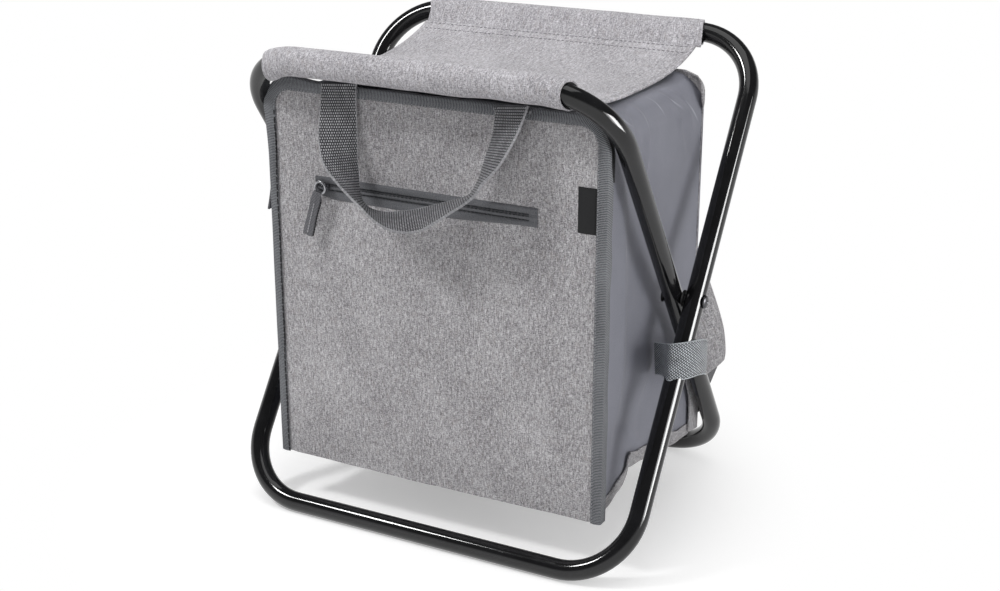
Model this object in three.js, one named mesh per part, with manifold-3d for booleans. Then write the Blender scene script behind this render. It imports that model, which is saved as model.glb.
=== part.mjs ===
// Folding stool with a soft cooler bag slung between its legs.
// Two bent steel tube loops cross in an X and turn on a pair of rivets. A fabric seat is
// sleeved over both top rails, and the bag hangs under it. Millimetres, +Z up, +Y to the
// rear, origin on the floor under the middle of the stool.

import * as THREE from 'three';
import { mergeVertices } from 'three/addons/utils/BufferGeometryUtils.js';
import Module from 'manifold-3d';

const wasm = await Module();
wasm.setup();

// Frame
const tubeDiameter = 16;
const tubeWall = 1;
const frameWidth = 368;
const legGap = 2.2;
const frameSpread = 264;
const railRise = 376;
const outerCornerRadius = 55;
const innerCornerRadius = 56;
const seamGap = 0.6;
const joinerLength = 80;
const joinerWall = 1;
const fitGap = 0.3;
const overrun = 2;

// Pivot rivets and washers
const rivetDiameter = 6;
const rivetHeadDiameter = 11;
const rivetHeadHeight = 2.2;
const rivetHeadGap = 0.6;
const rivetInnerHeadHeight = 0.6;
const rivetInnerGap = 0.1;
const washerDiameter = 14;
const washerThickness = 1.3;

// Seat
const seatEndInset = 29.8;
const seatSlide = -2;
const seatThickness = 1.6;
const sleeveThickness = 1.3;
const sleeveClearance = 0.95;
const sleeveTipReach = 18;
const sleeveTipDrop = 9;
const sleeveTipHeight = 2.4;
const seatSagRear = 20.5;
const seatSagMiddle = 22.1;
const seatSagFront = 19.5;

// Bag
const bagLegGap = 1;
const bagDepth = 195;
const bagFrontSetback = 21;
const bagBottom = 46;
const bagTopDrop = 24;
const bagTopRadius = 30;
const backTopDrop = 22.5;
const backCornerRadius = 14;
const panelThickness = 1.2;
const foamThickness = 3.5;
const linerWall = 1.2;
const linerTopDrop = 38;
const gussetInset = 2.7;
const pocketLiningThickness = 0.8;
const hoopThickness = 0.8;
const hoopDepth = 13;
const hoopClearance = 1;
const flapHeight = 47.5;

// Bindings, zips and label
const bindingThickness = 1.3;
const edgeBindingWidth = 8.5;
const flapBindingWidth = 9.5;
const bindingReturn = 9;
const pocketZipRightInset = 56.5;
const pocketZipHeight = 15;
const pocketZipDrop = 71;
const pocketZipInset = 44.5;
const zipTapeThickness = 1.2;
const sliderLength = 11;
const sliderWidth = 8;
const sliderHeight = 4;
const sliderStart = 3;
const ringDiameter = 10;
const ringWire = 1.4;
const pullLength = 34;
const pullWidth = 7;
const pullThickness = 2.4;
const pullTilt = 17;
const mainSliderHeight = 10;
const mainSliderDepth = 8;
const mainSliderThickness = 1.2;
const mainPullLength = 60;
const mainPullWidth = 6;
const mainPullThickness = 1.8;
const labelWidth = 15;
const labelHeight = 35;
const labelDrop = 50;
const labelThickness = 0.6;

// Handle, leg loops and shoulder straps
const webbingWidth = 30;
const webbingThickness = 1.8;
const handleSpan = 148.5;
const handleCentre = -2.2;
const handleDrop = 103;
const handleRootRise = 1;
const handleStandoff = 2.1;
const handleTilt = 7.5;
const handleFoldRadius = 1.6;
const loopFrontDrop = 41;
const loopRearDrop = 65;
const loopThickness = 1.6;
const loopClearance = 0.6;
const strapWidth = 52;
const strapThickness = 8;
const strapTopDrop = 25.5;
const strapLowDrop = 94;
const strapLegGap = 12;
const strapTailWidth = 14;
const strapTailRise = 14;
const strapTailReach = 14;

// Worked-out frame sizes
const tubeRadius = tubeDiameter / 2;
const tubeSides = 12;
const tubeCorner = tubeRadius / Math.cos(Math.PI / tubeSides);
const outerHalf = frameWidth / 2 - tubeRadius;
const innerHalf = outerHalf - tubeDiameter - legGap;
const railOut = frameSpread / 2;
const railLow = tubeRadius;
const railTop = railLow + railRise;
const pivotHeight = railLow + railRise / 2;
const loopLength = Math.hypot(frameSpread, railRise);
const legAngle = Math.atan2(railRise, frameSpread);
const rearward = frameSpread / railRise;

// Worked-out seat and bag sizes
const seatWidth = 2 * (innerHalf - seatEndInset);
const bagHalf = innerHalf - tubeCorner - bagLegGap;
const bagTop = railTop - bagTopDrop;
const backTop = railTop - backTopDrop;
const linerTop = bagTop - linerTopDrop;
const flapHinge = bagTop - flapHeight;
const pocketZipTop = bagTop - pocketZipDrop;
const pocketZipLeft = pocketZipInset - bagHalf;
const labelTop = bagTop - labelDrop;
const handleRoot = bagTop + handleRootRise;
const strapTop = backTop - strapTopDrop;
const strapLow = pivotHeight - strapLowDrop;
const frontFace = -(railOut - bagFrontSetback);
const backFace = frontFace + bagDepth;
const gussetHalf = bagHalf - gussetInset;
const flapHalf = gussetHalf + hoopClearance - fitGap;
const hoopHalf = gussetHalf + hoopClearance;
const foamHalf = gussetHalf - panelThickness - fitGap;
const panelBack = frontFace + panelThickness;
const liningFront = panelBack + fitGap;
const frontFoamFront = liningFront + pocketLiningThickness + fitGap;
const frontFoamBack = frontFoamFront + foamThickness;
const backPanelFront = backFace - panelThickness;
const backFoamBack = backPanelFront - fitGap;
const backFoamFront = backFoamBack - foamThickness;
const insideFront = frontFoamBack + fitGap;
const insideBack = backFoamFront - fitGap;
const bindingFront = frontFace - fitGap - bindingThickness;

// Finishes
const finishes = {
  paint: { color: 0x17171a, roughness: 0.22, metalness: 0.6 },
  steel: { color: 0x8c8d90, roughness: 0.35, metalness: 1.0 },
  nylon: { color: 0x1b1b1c, roughness: 0.6, metalness: 0.0 },
  seatCloth: { color: 0x9d9b9f, roughness: 0.95, metalness: 0.0 },
  bagCloth: { color: 0x858285, roughness: 0.95, metalness: 0.0 },
  slateCloth: { color: 0x6b6f76, roughness: 0.8, metalness: 0.0 },
  binding: { color: 0x55575b, roughness: 0.85, metalness: 0.0 },
  webbing: { color: 0x4c4e52, roughness: 0.85, metalness: 0.0 },
  paleWebbing: { color: 0x8d9095, roughness: 0.85, metalness: 0.0 },
  zipTape: { color: 0x4a4b4f, roughness: 0.7, metalness: 0.0 },
  gunmetal: { color: 0x5a5b5e, roughness: 0.3, metalness: 0.9 },
  label: { color: 0x141416, roughness: 0.8, metalness: 0.0 },
  foam: { color: 0xe6e6e2, roughness: 0.9, metalness: 0.0 },
  foil: { color: 0xc9ccd0, roughness: 0.3, metalness: 0.6 },
};

const stool = new THREE.Group();

// Adds one named piece to the stool.
function addPiece(name, geometry, finish) {
  const mesh = new THREE.Mesh(geometry, new THREE.MeshStandardMaterial(finishes[finish]));
  mesh.name = name;
  stool.add(mesh);
  return mesh;
}

// A closed manifold solid from any three.js geometry.
function toSolid(geometry) {
  const bare = geometry.clone();
  bare.deleteAttribute('normal');
  bare.deleteAttribute('uv');
  const merged = mergeVertices(bare);
  return new wasm.Manifold(new wasm.Mesh({
    numProp: 3,
    vertProperties: new Float32Array(merged.attributes.position.array),
    triVerts: new Uint32Array(merged.index.array),
  }));
}

// A three.js geometry from a manifold solid.
function fromSolid(solid) {
  const mesh = solid.getMesh();
  const geometry = new THREE.BufferGeometry();
  geometry.setAttribute('position', new THREE.BufferAttribute(mesh.vertProperties, mesh.numProp));
  geometry.setIndex(new THREE.BufferAttribute(mesh.triVerts, 1));
  geometry.computeVertexNormals();
  return geometry;
}

// A shape drawn in (Y, Z) and extruded along X, centred on the given X.
function alongX(shape, width, centre, segments) {
  const geometry = new THREE.ExtrudeGeometry(shape, {
    depth: width, bevelEnabled: false, curveSegments: segments,
  });
  geometry.translate(0, 0, centre - width / 2);
  const turn = new THREE.Matrix4().makeBasis(
    new THREE.Vector3(0, 1, 0), new THREE.Vector3(0, 0, 1), new THREE.Vector3(1, 0, 0));
  return geometry.applyMatrix4(turn);
}

// A shape drawn in (X, Z) and extruded along Y from front to back.
function alongY(shape, front, back, segments) {
  const geometry = new THREE.ExtrudeGeometry(shape, {
    depth: back - front, bevelEnabled: false, curveSegments: segments,
  });
  const turn = new THREE.Matrix4().makeBasis(
    new THREE.Vector3(1, 0, 0), new THREE.Vector3(0, 0, 1), new THREE.Vector3(0, -1, 0));
  return geometry.applyMatrix4(turn).translate(0, back, 0);
}

// A plain block between two corners.
function block(low, high) {
  const size = high.clone().sub(low);
  const middle = low.clone().add(high).multiplyScalar(1 / 2);
  return new THREE.BoxGeometry(size.x, size.y, size.z).translate(middle.x, middle.y, middle.z);
}

// A rectangle whose two upper corners are rounded.
function archShape(half, low, high, radius) {
  const shape = new THREE.Shape();
  shape.moveTo(-half, low);
  shape.lineTo(half, low);
  shape.lineTo(half, high - radius);
  shape.absarc(half - radius, high - radius, radius, 0, Math.PI / 2, false);
  shape.lineTo(-(half - radius), high);
  shape.absarc(-(half - radius), high - radius, radius, Math.PI / 2, Math.PI, false);
  shape.lineTo(-half, low);
  return shape;
}

// An arch-shaped band, open at the bottom, of even width.
function archBand(half, low, high, radius, width) {
  const inner = half - width;
  const innerHigh = high - width;
  const innerRadius = radius - width;
  const shape = new THREE.Shape();
  shape.moveTo(half, low);
  shape.lineTo(half, high - radius);
  shape.absarc(half - radius, high - radius, radius, 0, Math.PI / 2, false);
  shape.lineTo(-(half - radius), high);
  shape.absarc(-(half - radius), high - radius, radius, Math.PI / 2, Math.PI, false);
  shape.lineTo(-half, low);
  shape.lineTo(-inner, low);
  shape.lineTo(-inner, innerHigh - innerRadius);
  shape.absarc(-(inner - innerRadius), innerHigh - innerRadius, innerRadius, Math.PI, Math.PI / 2, true);
  shape.lineTo(inner - innerRadius, innerHigh);
  shape.absarc(inner - innerRadius, innerHigh - innerRadius, innerRadius, Math.PI / 2, 0, true);
  shape.lineTo(inner, low);
  shape.lineTo(half, low);
  return shape;
}

// Outlines of a strap's section, as shares of half its width and half its thickness.
const flatSectionShares = [[-1, -1], [1, -1], [1, 1], [-1, 1]];
const paddedSectionShares = [[-1, -0.4], [-0.86, -0.85], [-0.5, -1], [0.5, -1], [0.86, -0.85], [1, -0.4],
  [1, 0.4], [0.86, 0.85], [0.5, 1], [-0.5, 1], [-0.86, 0.85], [-1, 0.4]];

// A strap that follows a route. Each station has a middle point, the direction across the
// strap and the width there. The strap is one closed strip.
function ribbon(stations, thickness, sectionShares = flatSectionShares) {
  const count = sectionShares.length;
  const corners = [];
  stations.forEach((station, i) => {
    const before = stations[Math.max(i - 1, 0)].at;
    const after = stations[Math.min(i + 1, stations.length - 1)].at;
    const run = after.clone().sub(before).normalize();
    const side = station.across.clone().normalize();
    const face = side.clone().cross(run).normalize();
    for (const [u, v] of sectionShares) {
      const corner = station.at.clone();
      corner.addScaledVector(side, u * station.width / 2);
      corner.addScaledVector(face, v * thickness / 2);
      corners.push(corner.x, corner.y, corner.z);
    }
  });
  const faces = [];
  for (let i = 0; i < stations.length - 1; i += 1) {
    for (let k = 0; k < count; k += 1) {
      const a = count * i + k;
      const b = count * i + (k + 1) % count;
      faces.push(a, a + count, b, b, a + count, b + count);
    }
  }
  const last = count * (stations.length - 1);
  for (let k = 1; k < count - 1; k += 1) {
    faces.push(0, k, k + 1, last, last + k + 1, last + k);
  }
  const geometry = new THREE.BufferGeometry();
  geometry.setAttribute('position', new THREE.Float32BufferAttribute(corners, 3));
  geometry.setIndex(faces);
  return geometry;
}

// The same geometry on the left-hand side, with its faces turned back outwards.
function mirrored(geometry) {
  const copy = geometry.index ? geometry.toNonIndexed() : geometry.clone();
  copy.scale(-1, 1, 1);
  const position = copy.attributes.position;
  for (let i = 0; i < position.count; i += 3) {
    const held = new THREE.Vector3().fromBufferAttribute(position, i);
    const other = new THREE.Vector3().fromBufferAttribute(position, i + 1);
    position.setXYZ(i, other.x, other.y, other.z);
    position.setXYZ(i + 1, held.x, held.y, held.z);
  }
  return copy;
}

// A pair of like pieces, right and left.
function addPair(name, geometry, finish) {
  addPiece(`right_${name}`, geometry, finish);
  addPiece(`left_${name}`, mirrored(geometry), finish);
}

// The middle line of a bent tube loop, drawn flat: it starts at the seam in the top rail,
// runs round the four bends and ends on the other side of the seam. Each bend has short
// steps and each straight is one step.
class LoopPath extends THREE.Curve {
  constructor(half, length, radius) {
    super();
    this.stations = [];
    const bendSteps = 7;
    const bends = [
      [half - radius, length - radius, Math.PI / 2],
      [half - radius, radius, 0],
      [radius - half, radius, -Math.PI / 2],
      [radius - half, length - radius, -Math.PI],
    ];
    this.addStation(seamGap / 2, length, 0);
    for (const [x, y, start] of bends) {
      for (let i = 0; i <= bendSteps; i += 1) {
        const angle = start - (i / bendSteps) * Math.PI / 2;
        this.addStation(x + radius * Math.cos(angle), y + radius * Math.sin(angle), angle - Math.PI / 2);
      }
    }
    this.addStation(-seamGap / 2, length, 0);
  }

  addStation(x, y, heading) {
    this.stations.push({
      at: new THREE.Vector3(x, y, 0),
      run: new THREE.Vector3(Math.cos(heading), Math.sin(heading), 0),
    });
  }

  blend(t, key) {
    const place = t * (this.stations.length - 1);
    const i = Math.min(Math.floor(place), this.stations.length - 2);
    return this.stations[i][key].clone().lerp(this.stations[i + 1][key], place - i);
  }

  getPoint(t) {
    return this.blend(t, 'at');
  }

  getTangent(t) {
    return this.blend(t, 'run').normalize();
  }

  getUtoTmapping(u) {
    return u;
  }
}

// A polygon whose flats lie at the given distance, with one flat facing the given angle.
function flatSidedPath(Kind, flat, facing) {
  const radius = flat / Math.cos(Math.PI / tubeSides);
  const path = new Kind();
  for (let i = 0; i <= tubeSides; i += 1) {
    const angle = facing + (i + 1 / 2) * 2 * Math.PI / tubeSides;
    const x = radius * Math.cos(angle);
    const y = radius * Math.sin(angle);
    if (i === 0) {
      path.moveTo(x, y);
    } else {
      path.lineTo(x, y);
    }
  }
  return path;
}

// One bent tube frame, hollow, leaning at the given angle from the floor, with its pivot
// holes. A flat of the tube faces straight down along the bottom rail.
function frameLoop(half, cornerRadius, lean, bottomRail) {
  const path = new LoopPath(half, loopLength, cornerRadius);
  const section = flatSidedPath(THREE.Shape, tubeRadius, lean);
  section.holes.push(flatSidedPath(THREE.Path, tubeRadius - tubeWall, lean));
  const tube = new THREE.ExtrudeGeometry(section, {
    steps: path.stations.length - 1, extrudePath: path,
  });
  tube.rotateX(lean);
  tube.translate(0, bottomRail, railLow);
  const hole = new THREE.CylinderGeometry(
    rivetDiameter / 2 + fitGap, rivetDiameter / 2 + fitGap, frameWidth + overrun, 12);
  hole.rotateZ(Math.PI / 2);
  hole.translate(0, 0, pivotHeight);
  return fromSolid(toSolid(tube).subtract(toSolid(hole)));
}

// The short inner tube that joins the two ends of a loop inside its top rail.
function joinerTube(railY) {
  const outside = tubeRadius - tubeWall - fitGap;
  const inside = outside - joinerWall;
  const reach = joinerLength / 2;
  const profile = [
    new THREE.Vector2(inside, -reach),
    new THREE.Vector2(outside, -reach),
    new THREE.Vector2(outside, reach),
    new THREE.Vector2(inside, reach),
    new THREE.Vector2(inside, -reach),
  ];
  return new THREE.LatheGeometry(profile, 12).rotateZ(Math.PI / 2).translate(0, railY, railTop);
}

function buildFrames() {
  addPiece('outer_frame', frameLoop(outerHalf, outerCornerRadius, legAngle, -railOut), 'paint');
  addPiece('inner_frame', frameLoop(innerHalf, innerCornerRadius, Math.PI - legAngle, railOut), 'paint');
  addPiece('outer_frame_joiner', joinerTube(railOut), 'steel');
  addPiece('inner_frame_joiner', joinerTube(-railOut), 'steel');
}

// A rivet through both legs, with a domed outer head and a flat inner head.
function buildPivots() {
  const innerFace = innerHalf - tubeCorner - rivetInnerGap;
  const outerFace = outerHalf + tubeRadius + rivetHeadGap;
  const headRadius = rivetHeadDiameter / 2;
  const domeShoulder = rivetHeadHeight / 2;
  const profile = [
    new THREE.Vector2(0, innerFace - rivetInnerHeadHeight),
    new THREE.Vector2(headRadius, innerFace - rivetInnerHeadHeight),
    new THREE.Vector2(headRadius, innerFace),
    new THREE.Vector2(rivetDiameter / 2, innerFace),
    new THREE.Vector2(rivetDiameter / 2, outerFace),
    new THREE.Vector2(headRadius, outerFace),
    new THREE.Vector2(headRadius, outerFace + domeShoulder),
    new THREE.Vector2(headRadius / 2, outerFace + rivetHeadHeight),
    new THREE.Vector2(0, outerFace + rivetHeadHeight),
  ];
  const rivet = new THREE.LatheGeometry(profile, 12).rotateZ(-Math.PI / 2).translate(0, 0, pivotHeight);
  addPair('pivot_rivet', rivet, 'steel');

  const washerMiddle = (innerHalf + outerHalf) / 2;
  const washerBore = rivetDiameter / 2 + fitGap;
  const ring = [
    new THREE.Vector2(washerBore, washerMiddle - washerThickness / 2),
    new THREE.Vector2(washerDiameter / 2, washerMiddle - washerThickness / 2),
    new THREE.Vector2(washerDiameter / 2, washerMiddle + washerThickness / 2),
    new THREE.Vector2(washerBore, washerMiddle + washerThickness / 2),
    new THREE.Vector2(washerBore, washerMiddle - washerThickness / 2),
  ];
  const washer = new THREE.LatheGeometry(ring, 16).rotateZ(-Math.PI / 2).translate(0, 0, pivotHeight);
  addPair('pivot_washer', washer, 'nylon');
}

// Closed walls between matching sections, each with an outline and a hole in (Y, Z) at its
// own X, capped at both ends.
function loftSections(sections) {
  const corners = [];
  const faces = [];
  const outlineCount = sections[0].outline.length;
  const stride = outlineCount + sections[0].hole.length;
  sections.forEach(({ x, outline, hole }, i) => {
    [...outline, ...hole].forEach((corner) => corners.push(x, corner.x, corner.y));
    if (i === 0) {
      return;
    }
    for (let k = 0; k < stride; k += 1) {
      const wraps = k === outlineCount - 1 || k === stride - 1;
      const start = k < outlineCount ? 0 : outlineCount;
      const next = wraps ? start : k + 1;
      const a = (i - 1) * stride;
      const b = i * stride;
      faces.push(a + k, a + next, b + next, a + k, b + next, b + k);
    }
  });
  const end = (sections.length - 1) * stride;
  THREE.ShapeUtils.triangulateShape(sections[0].outline, [sections[0].hole]).forEach(([a, b, c]) => {
    faces.push(a, c, b, end + a, end + b, end + c);
  });
  const geometry = new THREE.BufferGeometry();
  geometry.setAttribute('position', new THREE.Float32BufferAttribute(corners, 3));
  geometry.setIndex(faces);
  return geometry;
}

// One section of a sewn sleeve. The round part follows the rail down where the rail starts
// to bend, and both plies of cloth meet at a square tip that runs straight.
function sleeveSection(x, side, half, bendRadius) {
  const past = Math.max(Math.abs(x) - (half - bendRadius), 0);
  const heading = Math.asin(past / bendRadius);
  const drop = bendRadius * (1 - Math.cos(heading));
  const down = new THREE.Vector2(-railOut * 2 / loopLength, -railRise / loopLength);
  const centre = down.clone().multiplyScalar(drop);
  const stretch = 1 / Math.cos(heading) - 1;
  const bore = tubeCorner + sleeveClearance;
  const skin = bore + sleeveThickness;
  const tipHigh = new THREE.Vector2(-sleeveTipReach, sleeveTipHeight / 2 - sleeveTipDrop);
  const tipLow = new THREE.Vector2(-sleeveTipReach, -sleeveTipHeight / 2 - sleeveTipDrop);

  // A tip as the rail sees it: from its centre, and without the stretch.
  const fromRail = (tip) => {
    const point = tip.clone().sub(centre);
    return point.addScaledVector(down, -point.dot(down) * stretch / (1 + stretch));
  };
  const high = fromRail(tipHigh);
  const low = fromRail(tipLow);
  const topLeave = high.angle() - Math.acos(skin / high.length());
  const bottomLeave = low.angle() + Math.acos(skin / low.length()) - 2 * Math.PI;

  // A point at the given angle round the rail, stretched along the leg where it bends.
  const around = (radius, angle) => {
    const point = new THREE.Vector2(radius * Math.cos(angle), radius * Math.sin(angle));
    return point.addScaledVector(down, point.dot(down) * stretch).add(centre);
  };
  const steps = 14;
  const outline = [tipLow, tipHigh];
  const hole = [];
  for (let i = 0; i <= steps; i += 1) {
    outline.push(around(skin, topLeave + (bottomLeave - topLeave) * i / steps));
    hole.push(around(bore, 2 * Math.PI * i / (steps + 1)));
  }
  const place = (corner) => new THREE.Vector2(side * (railOut + corner.x), railTop + corner.y);
  const placedOutline = outline.map(place);
  const placedHole = hole.map(place);
  if (side > 0) {
    placedOutline.reverse();
    placedHole.reverse();
  }
  return { x, outline: placedOutline, hole: placedHole };
}

// A sewn sleeve round a top rail. side is 1 for the rear rail and -1 for the front one.
function sleeve(side, half, bendRadius) {
  const steps = 30;
  const sections = [];
  for (let i = 0; i <= steps; i += 1) {
    const x = seatSlide + seatWidth * (i / steps - 1 / 2);
    if (i === 0 || i === steps || Math.abs(x) > half - bendRadius - tubeDiameter) {
      sections.push(sleeveSection(x, side, half, bendRadius));
    }
  }
  return loftSections(sections);
}

// Places along the seat, from the front sleeve to the rear one: how far from the middle as a
// share of the half length, and how low as a share of the sag at the front, middle or rear.
const seatPlaceShares = [-0.84, -0.6, 0, 0.45, 0.78];
const seatFrontStartShare = 0.78;

// The sagging seat cloth between the two sleeves: a smooth line with even thickness.
function seatShape() {
  const edge = railOut - sleeveTipReach - fitGap;
  const sags = [seatSagFront * seatFrontStartShare, seatSagFront, seatSagMiddle, seatSagMiddle, seatSagRear];
  const middle = new THREE.SplineCurve([
    new THREE.Vector2(-edge, railTop - sleeveTipDrop),
    ...seatPlaceShares.map((share, i) => new THREE.Vector2(edge * share, railTop - sags[i])),
    new THREE.Vector2(edge, railTop - sleeveTipDrop),
  ]);
  const upper = [];
  const lower = [];
  const steps = 24;
  for (let i = 0; i <= steps; i += 1) {
    const at = middle.getPoint(i / steps);
    const run = middle.getTangent(i / steps);
    const up = new THREE.Vector2(-run.y, run.x);
    upper.push(at.clone().addScaledVector(up, seatThickness / 2));
    lower.unshift(at.clone().addScaledVector(up, -seatThickness / 2));
  }
  upper[0].x = -edge;
  lower[steps].x = -edge;
  upper[steps].x = edge;
  lower[0].x = edge;
  return new THREE.Shape([...upper, ...lower]);
}

function buildSeat() {
  addPiece('front_sleeve', sleeve(-1, innerHalf, innerCornerRadius), 'seatCloth');
  addPiece('rear_sleeve', sleeve(1, outerHalf, outerCornerRadius), 'seatCloth');
  addPiece('seat_panel', alongX(seatShape(), seatWidth, seatSlide, 1), 'seatCloth');
}

// The outer cloth of the bag: lower front panel, flap, back, sides, top and bottom.
function buildBagCloth() {
  const bendSegments = 6;
  addPiece('front_panel', block(
    new THREE.Vector3(-flapHalf, frontFace, bagBottom),
    new THREE.Vector3(flapHalf, panelBack, flapHinge - fitGap)), 'bagCloth');
  addPiece('front_flap', alongY(
    archShape(flapHalf, flapHinge, bagTop + hoopClearance - fitGap, bagTopRadius),
    frontFace, panelBack, bendSegments), 'bagCloth');
  addPiece('back_panel', alongY(
    archShape(bagHalf, bagBottom, backTop, backCornerRadius),
    backPanelFront, backFace, bendSegments), 'bagCloth');

  const gusset = new THREE.Shape();
  gusset.moveTo(gussetHalf, bagBottom);
  gusset.lineTo(gussetHalf, bagTop - bagTopRadius);
  gusset.absarc(gussetHalf - bagTopRadius, bagTop - bagTopRadius, bagTopRadius, 0, Math.PI / 2, false);
  gusset.lineTo(gussetHalf - bagTopRadius, bagTop - panelThickness);
  gusset.absarc(gussetHalf - bagTopRadius, bagTop - bagTopRadius,
    bagTopRadius - panelThickness, Math.PI / 2, 0, true);
  gusset.lineTo(gussetHalf - panelThickness, bagBottom);
  const sideFront = panelBack + fitGap;
  const sideBack = backPanelFront - fitGap;
  addPair('gusset', alongY(gusset, sideFront, sideBack, bendSegments), 'slateCloth');

  const coverHalf = gussetHalf - bagTopRadius - fitGap;
  addPiece('top_cover', block(
    new THREE.Vector3(-coverHalf, insideFront, bagTop - panelThickness),
    new THREE.Vector3(coverHalf, sideBack, bagTop)), 'slateCloth');
  addPiece('bottom_panel', block(
    new THREE.Vector3(-foamHalf, insideFront, bagBottom),
    new THREE.Vector3(foamHalf, insideBack, bagBottom + panelThickness)), 'slateCloth');
}

// The foam sheets behind the cloth and the foil liner inside them.
function buildInsulation() {
  const foamLow = bagBottom + panelThickness + fitGap;
  addPiece('front_foam', block(
    new THREE.Vector3(-foamHalf, frontFoamFront, bagBottom),
    new THREE.Vector3(foamHalf, frontFoamBack, flapHinge - fitGap)), 'foam');
  addPiece('flap_foam', alongY(
    archShape(foamHalf, flapHinge, bagTop - panelThickness - fitGap, bagTopRadius),
    frontFoamFront, frontFoamBack, 6), 'foam');
  addPiece('back_foam', block(
    new THREE.Vector3(-foamHalf, backFoamFront, bagBottom),
    new THREE.Vector3(foamHalf, backFoamBack, linerTop)), 'foam');
  addPair('gusset_foam', block(
    new THREE.Vector3(foamHalf - foamThickness, insideFront, foamLow),
    new THREE.Vector3(foamHalf, insideBack, linerTop)), 'foam');
  const linerHalf = foamHalf - foamThickness - fitGap;
  addPiece('bottom_foam', block(
    new THREE.Vector3(-linerHalf, insideFront, foamLow),
    new THREE.Vector3(linerHalf, insideBack, foamLow + foamThickness)), 'foam');
  const linerLow = foamLow + foamThickness + fitGap;
  const tub = toSolid(block(
    new THREE.Vector3(-linerHalf, insideFront, linerLow),
    new THREE.Vector3(linerHalf, insideBack, linerTop)));
  const hollow = toSolid(block(
    new THREE.Vector3(-linerHalf + linerWall, insideFront + linerWall, linerLow + linerWall),
    new THREE.Vector3(linerHalf - linerWall, insideBack - linerWall, linerTop + overrun)));
  addPiece('foil_liner', fromSolid(tub.subtract(hollow)), 'foil');
}

// Webbing bindings round the front, and the main zip that runs up one side of the flap,
// over its top and down the other side.
function buildBindings() {
  const outer = bagHalf;
  const inner = bagHalf - edgeBindingWidth;
  const sideInner = flapHalf + fitGap;
  const edge = new THREE.Shape([
    new THREE.Vector2(inner, bindingFront),
    new THREE.Vector2(outer, bindingFront),
    new THREE.Vector2(outer, bindingFront + bindingReturn),
    new THREE.Vector2(sideInner, bindingFront + bindingReturn),
    new THREE.Vector2(sideInner, bindingFront + bindingThickness),
    new THREE.Vector2(inner, bindingFront + bindingThickness),
  ]);
  const strip = new THREE.ExtrudeGeometry(edge, {
    depth: flapHinge - fitGap - bagBottom, bevelEnabled: false,
  });
  strip.translate(0, 0, bagBottom);
  addPair('edge_binding', strip, 'binding');

  const bindingTop = bagTop + hoopClearance + bindingThickness;
  addPiece('flap_binding', alongY(
    archBand(bagHalf, flapHinge, bindingTop, bagTopRadius, flapBindingWidth),
    bindingFront, bindingFront + bindingThickness, 8), 'binding');

  const hoopTop = bagTop + hoopClearance + hoopThickness;
  addPiece('main_zip_tape', alongY(
    archBand(hoopHalf + hoopThickness, flapHinge, hoopTop, bagTopRadius, hoopThickness),
    frontFace, frontFace + hoopDepth, 8), 'zipTape');

  const sliderInner = hoopHalf + hoopThickness + fitGap;
  const sliderOuter = sliderInner + mainSliderThickness;
  const sliderFront = frontFace + (hoopDepth - mainSliderDepth) / 2;
  const sliderLow = flapHinge + fitGap;
  addPiece('main_zip_slider', block(
    new THREE.Vector3(-sliderOuter, sliderFront, sliderLow),
    new THREE.Vector3(-sliderInner, sliderFront + mainSliderDepth, sliderLow + mainSliderHeight)),
  'gunmetal');

  const pullTop = sliderLow - fitGap;
  const pullY = sliderFront + mainSliderDepth / 2;
  const pullX = -bagHalf - fitGap - mainPullThickness / 2;
  const pull = [
    { at: new THREE.Vector3(pullX, pullY, pullTop), width: mainPullWidth },
    { at: new THREE.Vector3(pullX - mainPullThickness, pullY, pullTop - mainPullLength / 2),
      width: mainPullWidth },
    { at: new THREE.Vector3(pullX - mainPullWidth, pullY, pullTop - mainPullLength),
      width: mainPullWidth },
  ];
  pull.forEach((station) => { station.across = new THREE.Vector3(0, 1, 0); });
  addPiece('main_zip_pull', ribbon(pull, mainPullThickness), 'zipTape');
}

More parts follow.
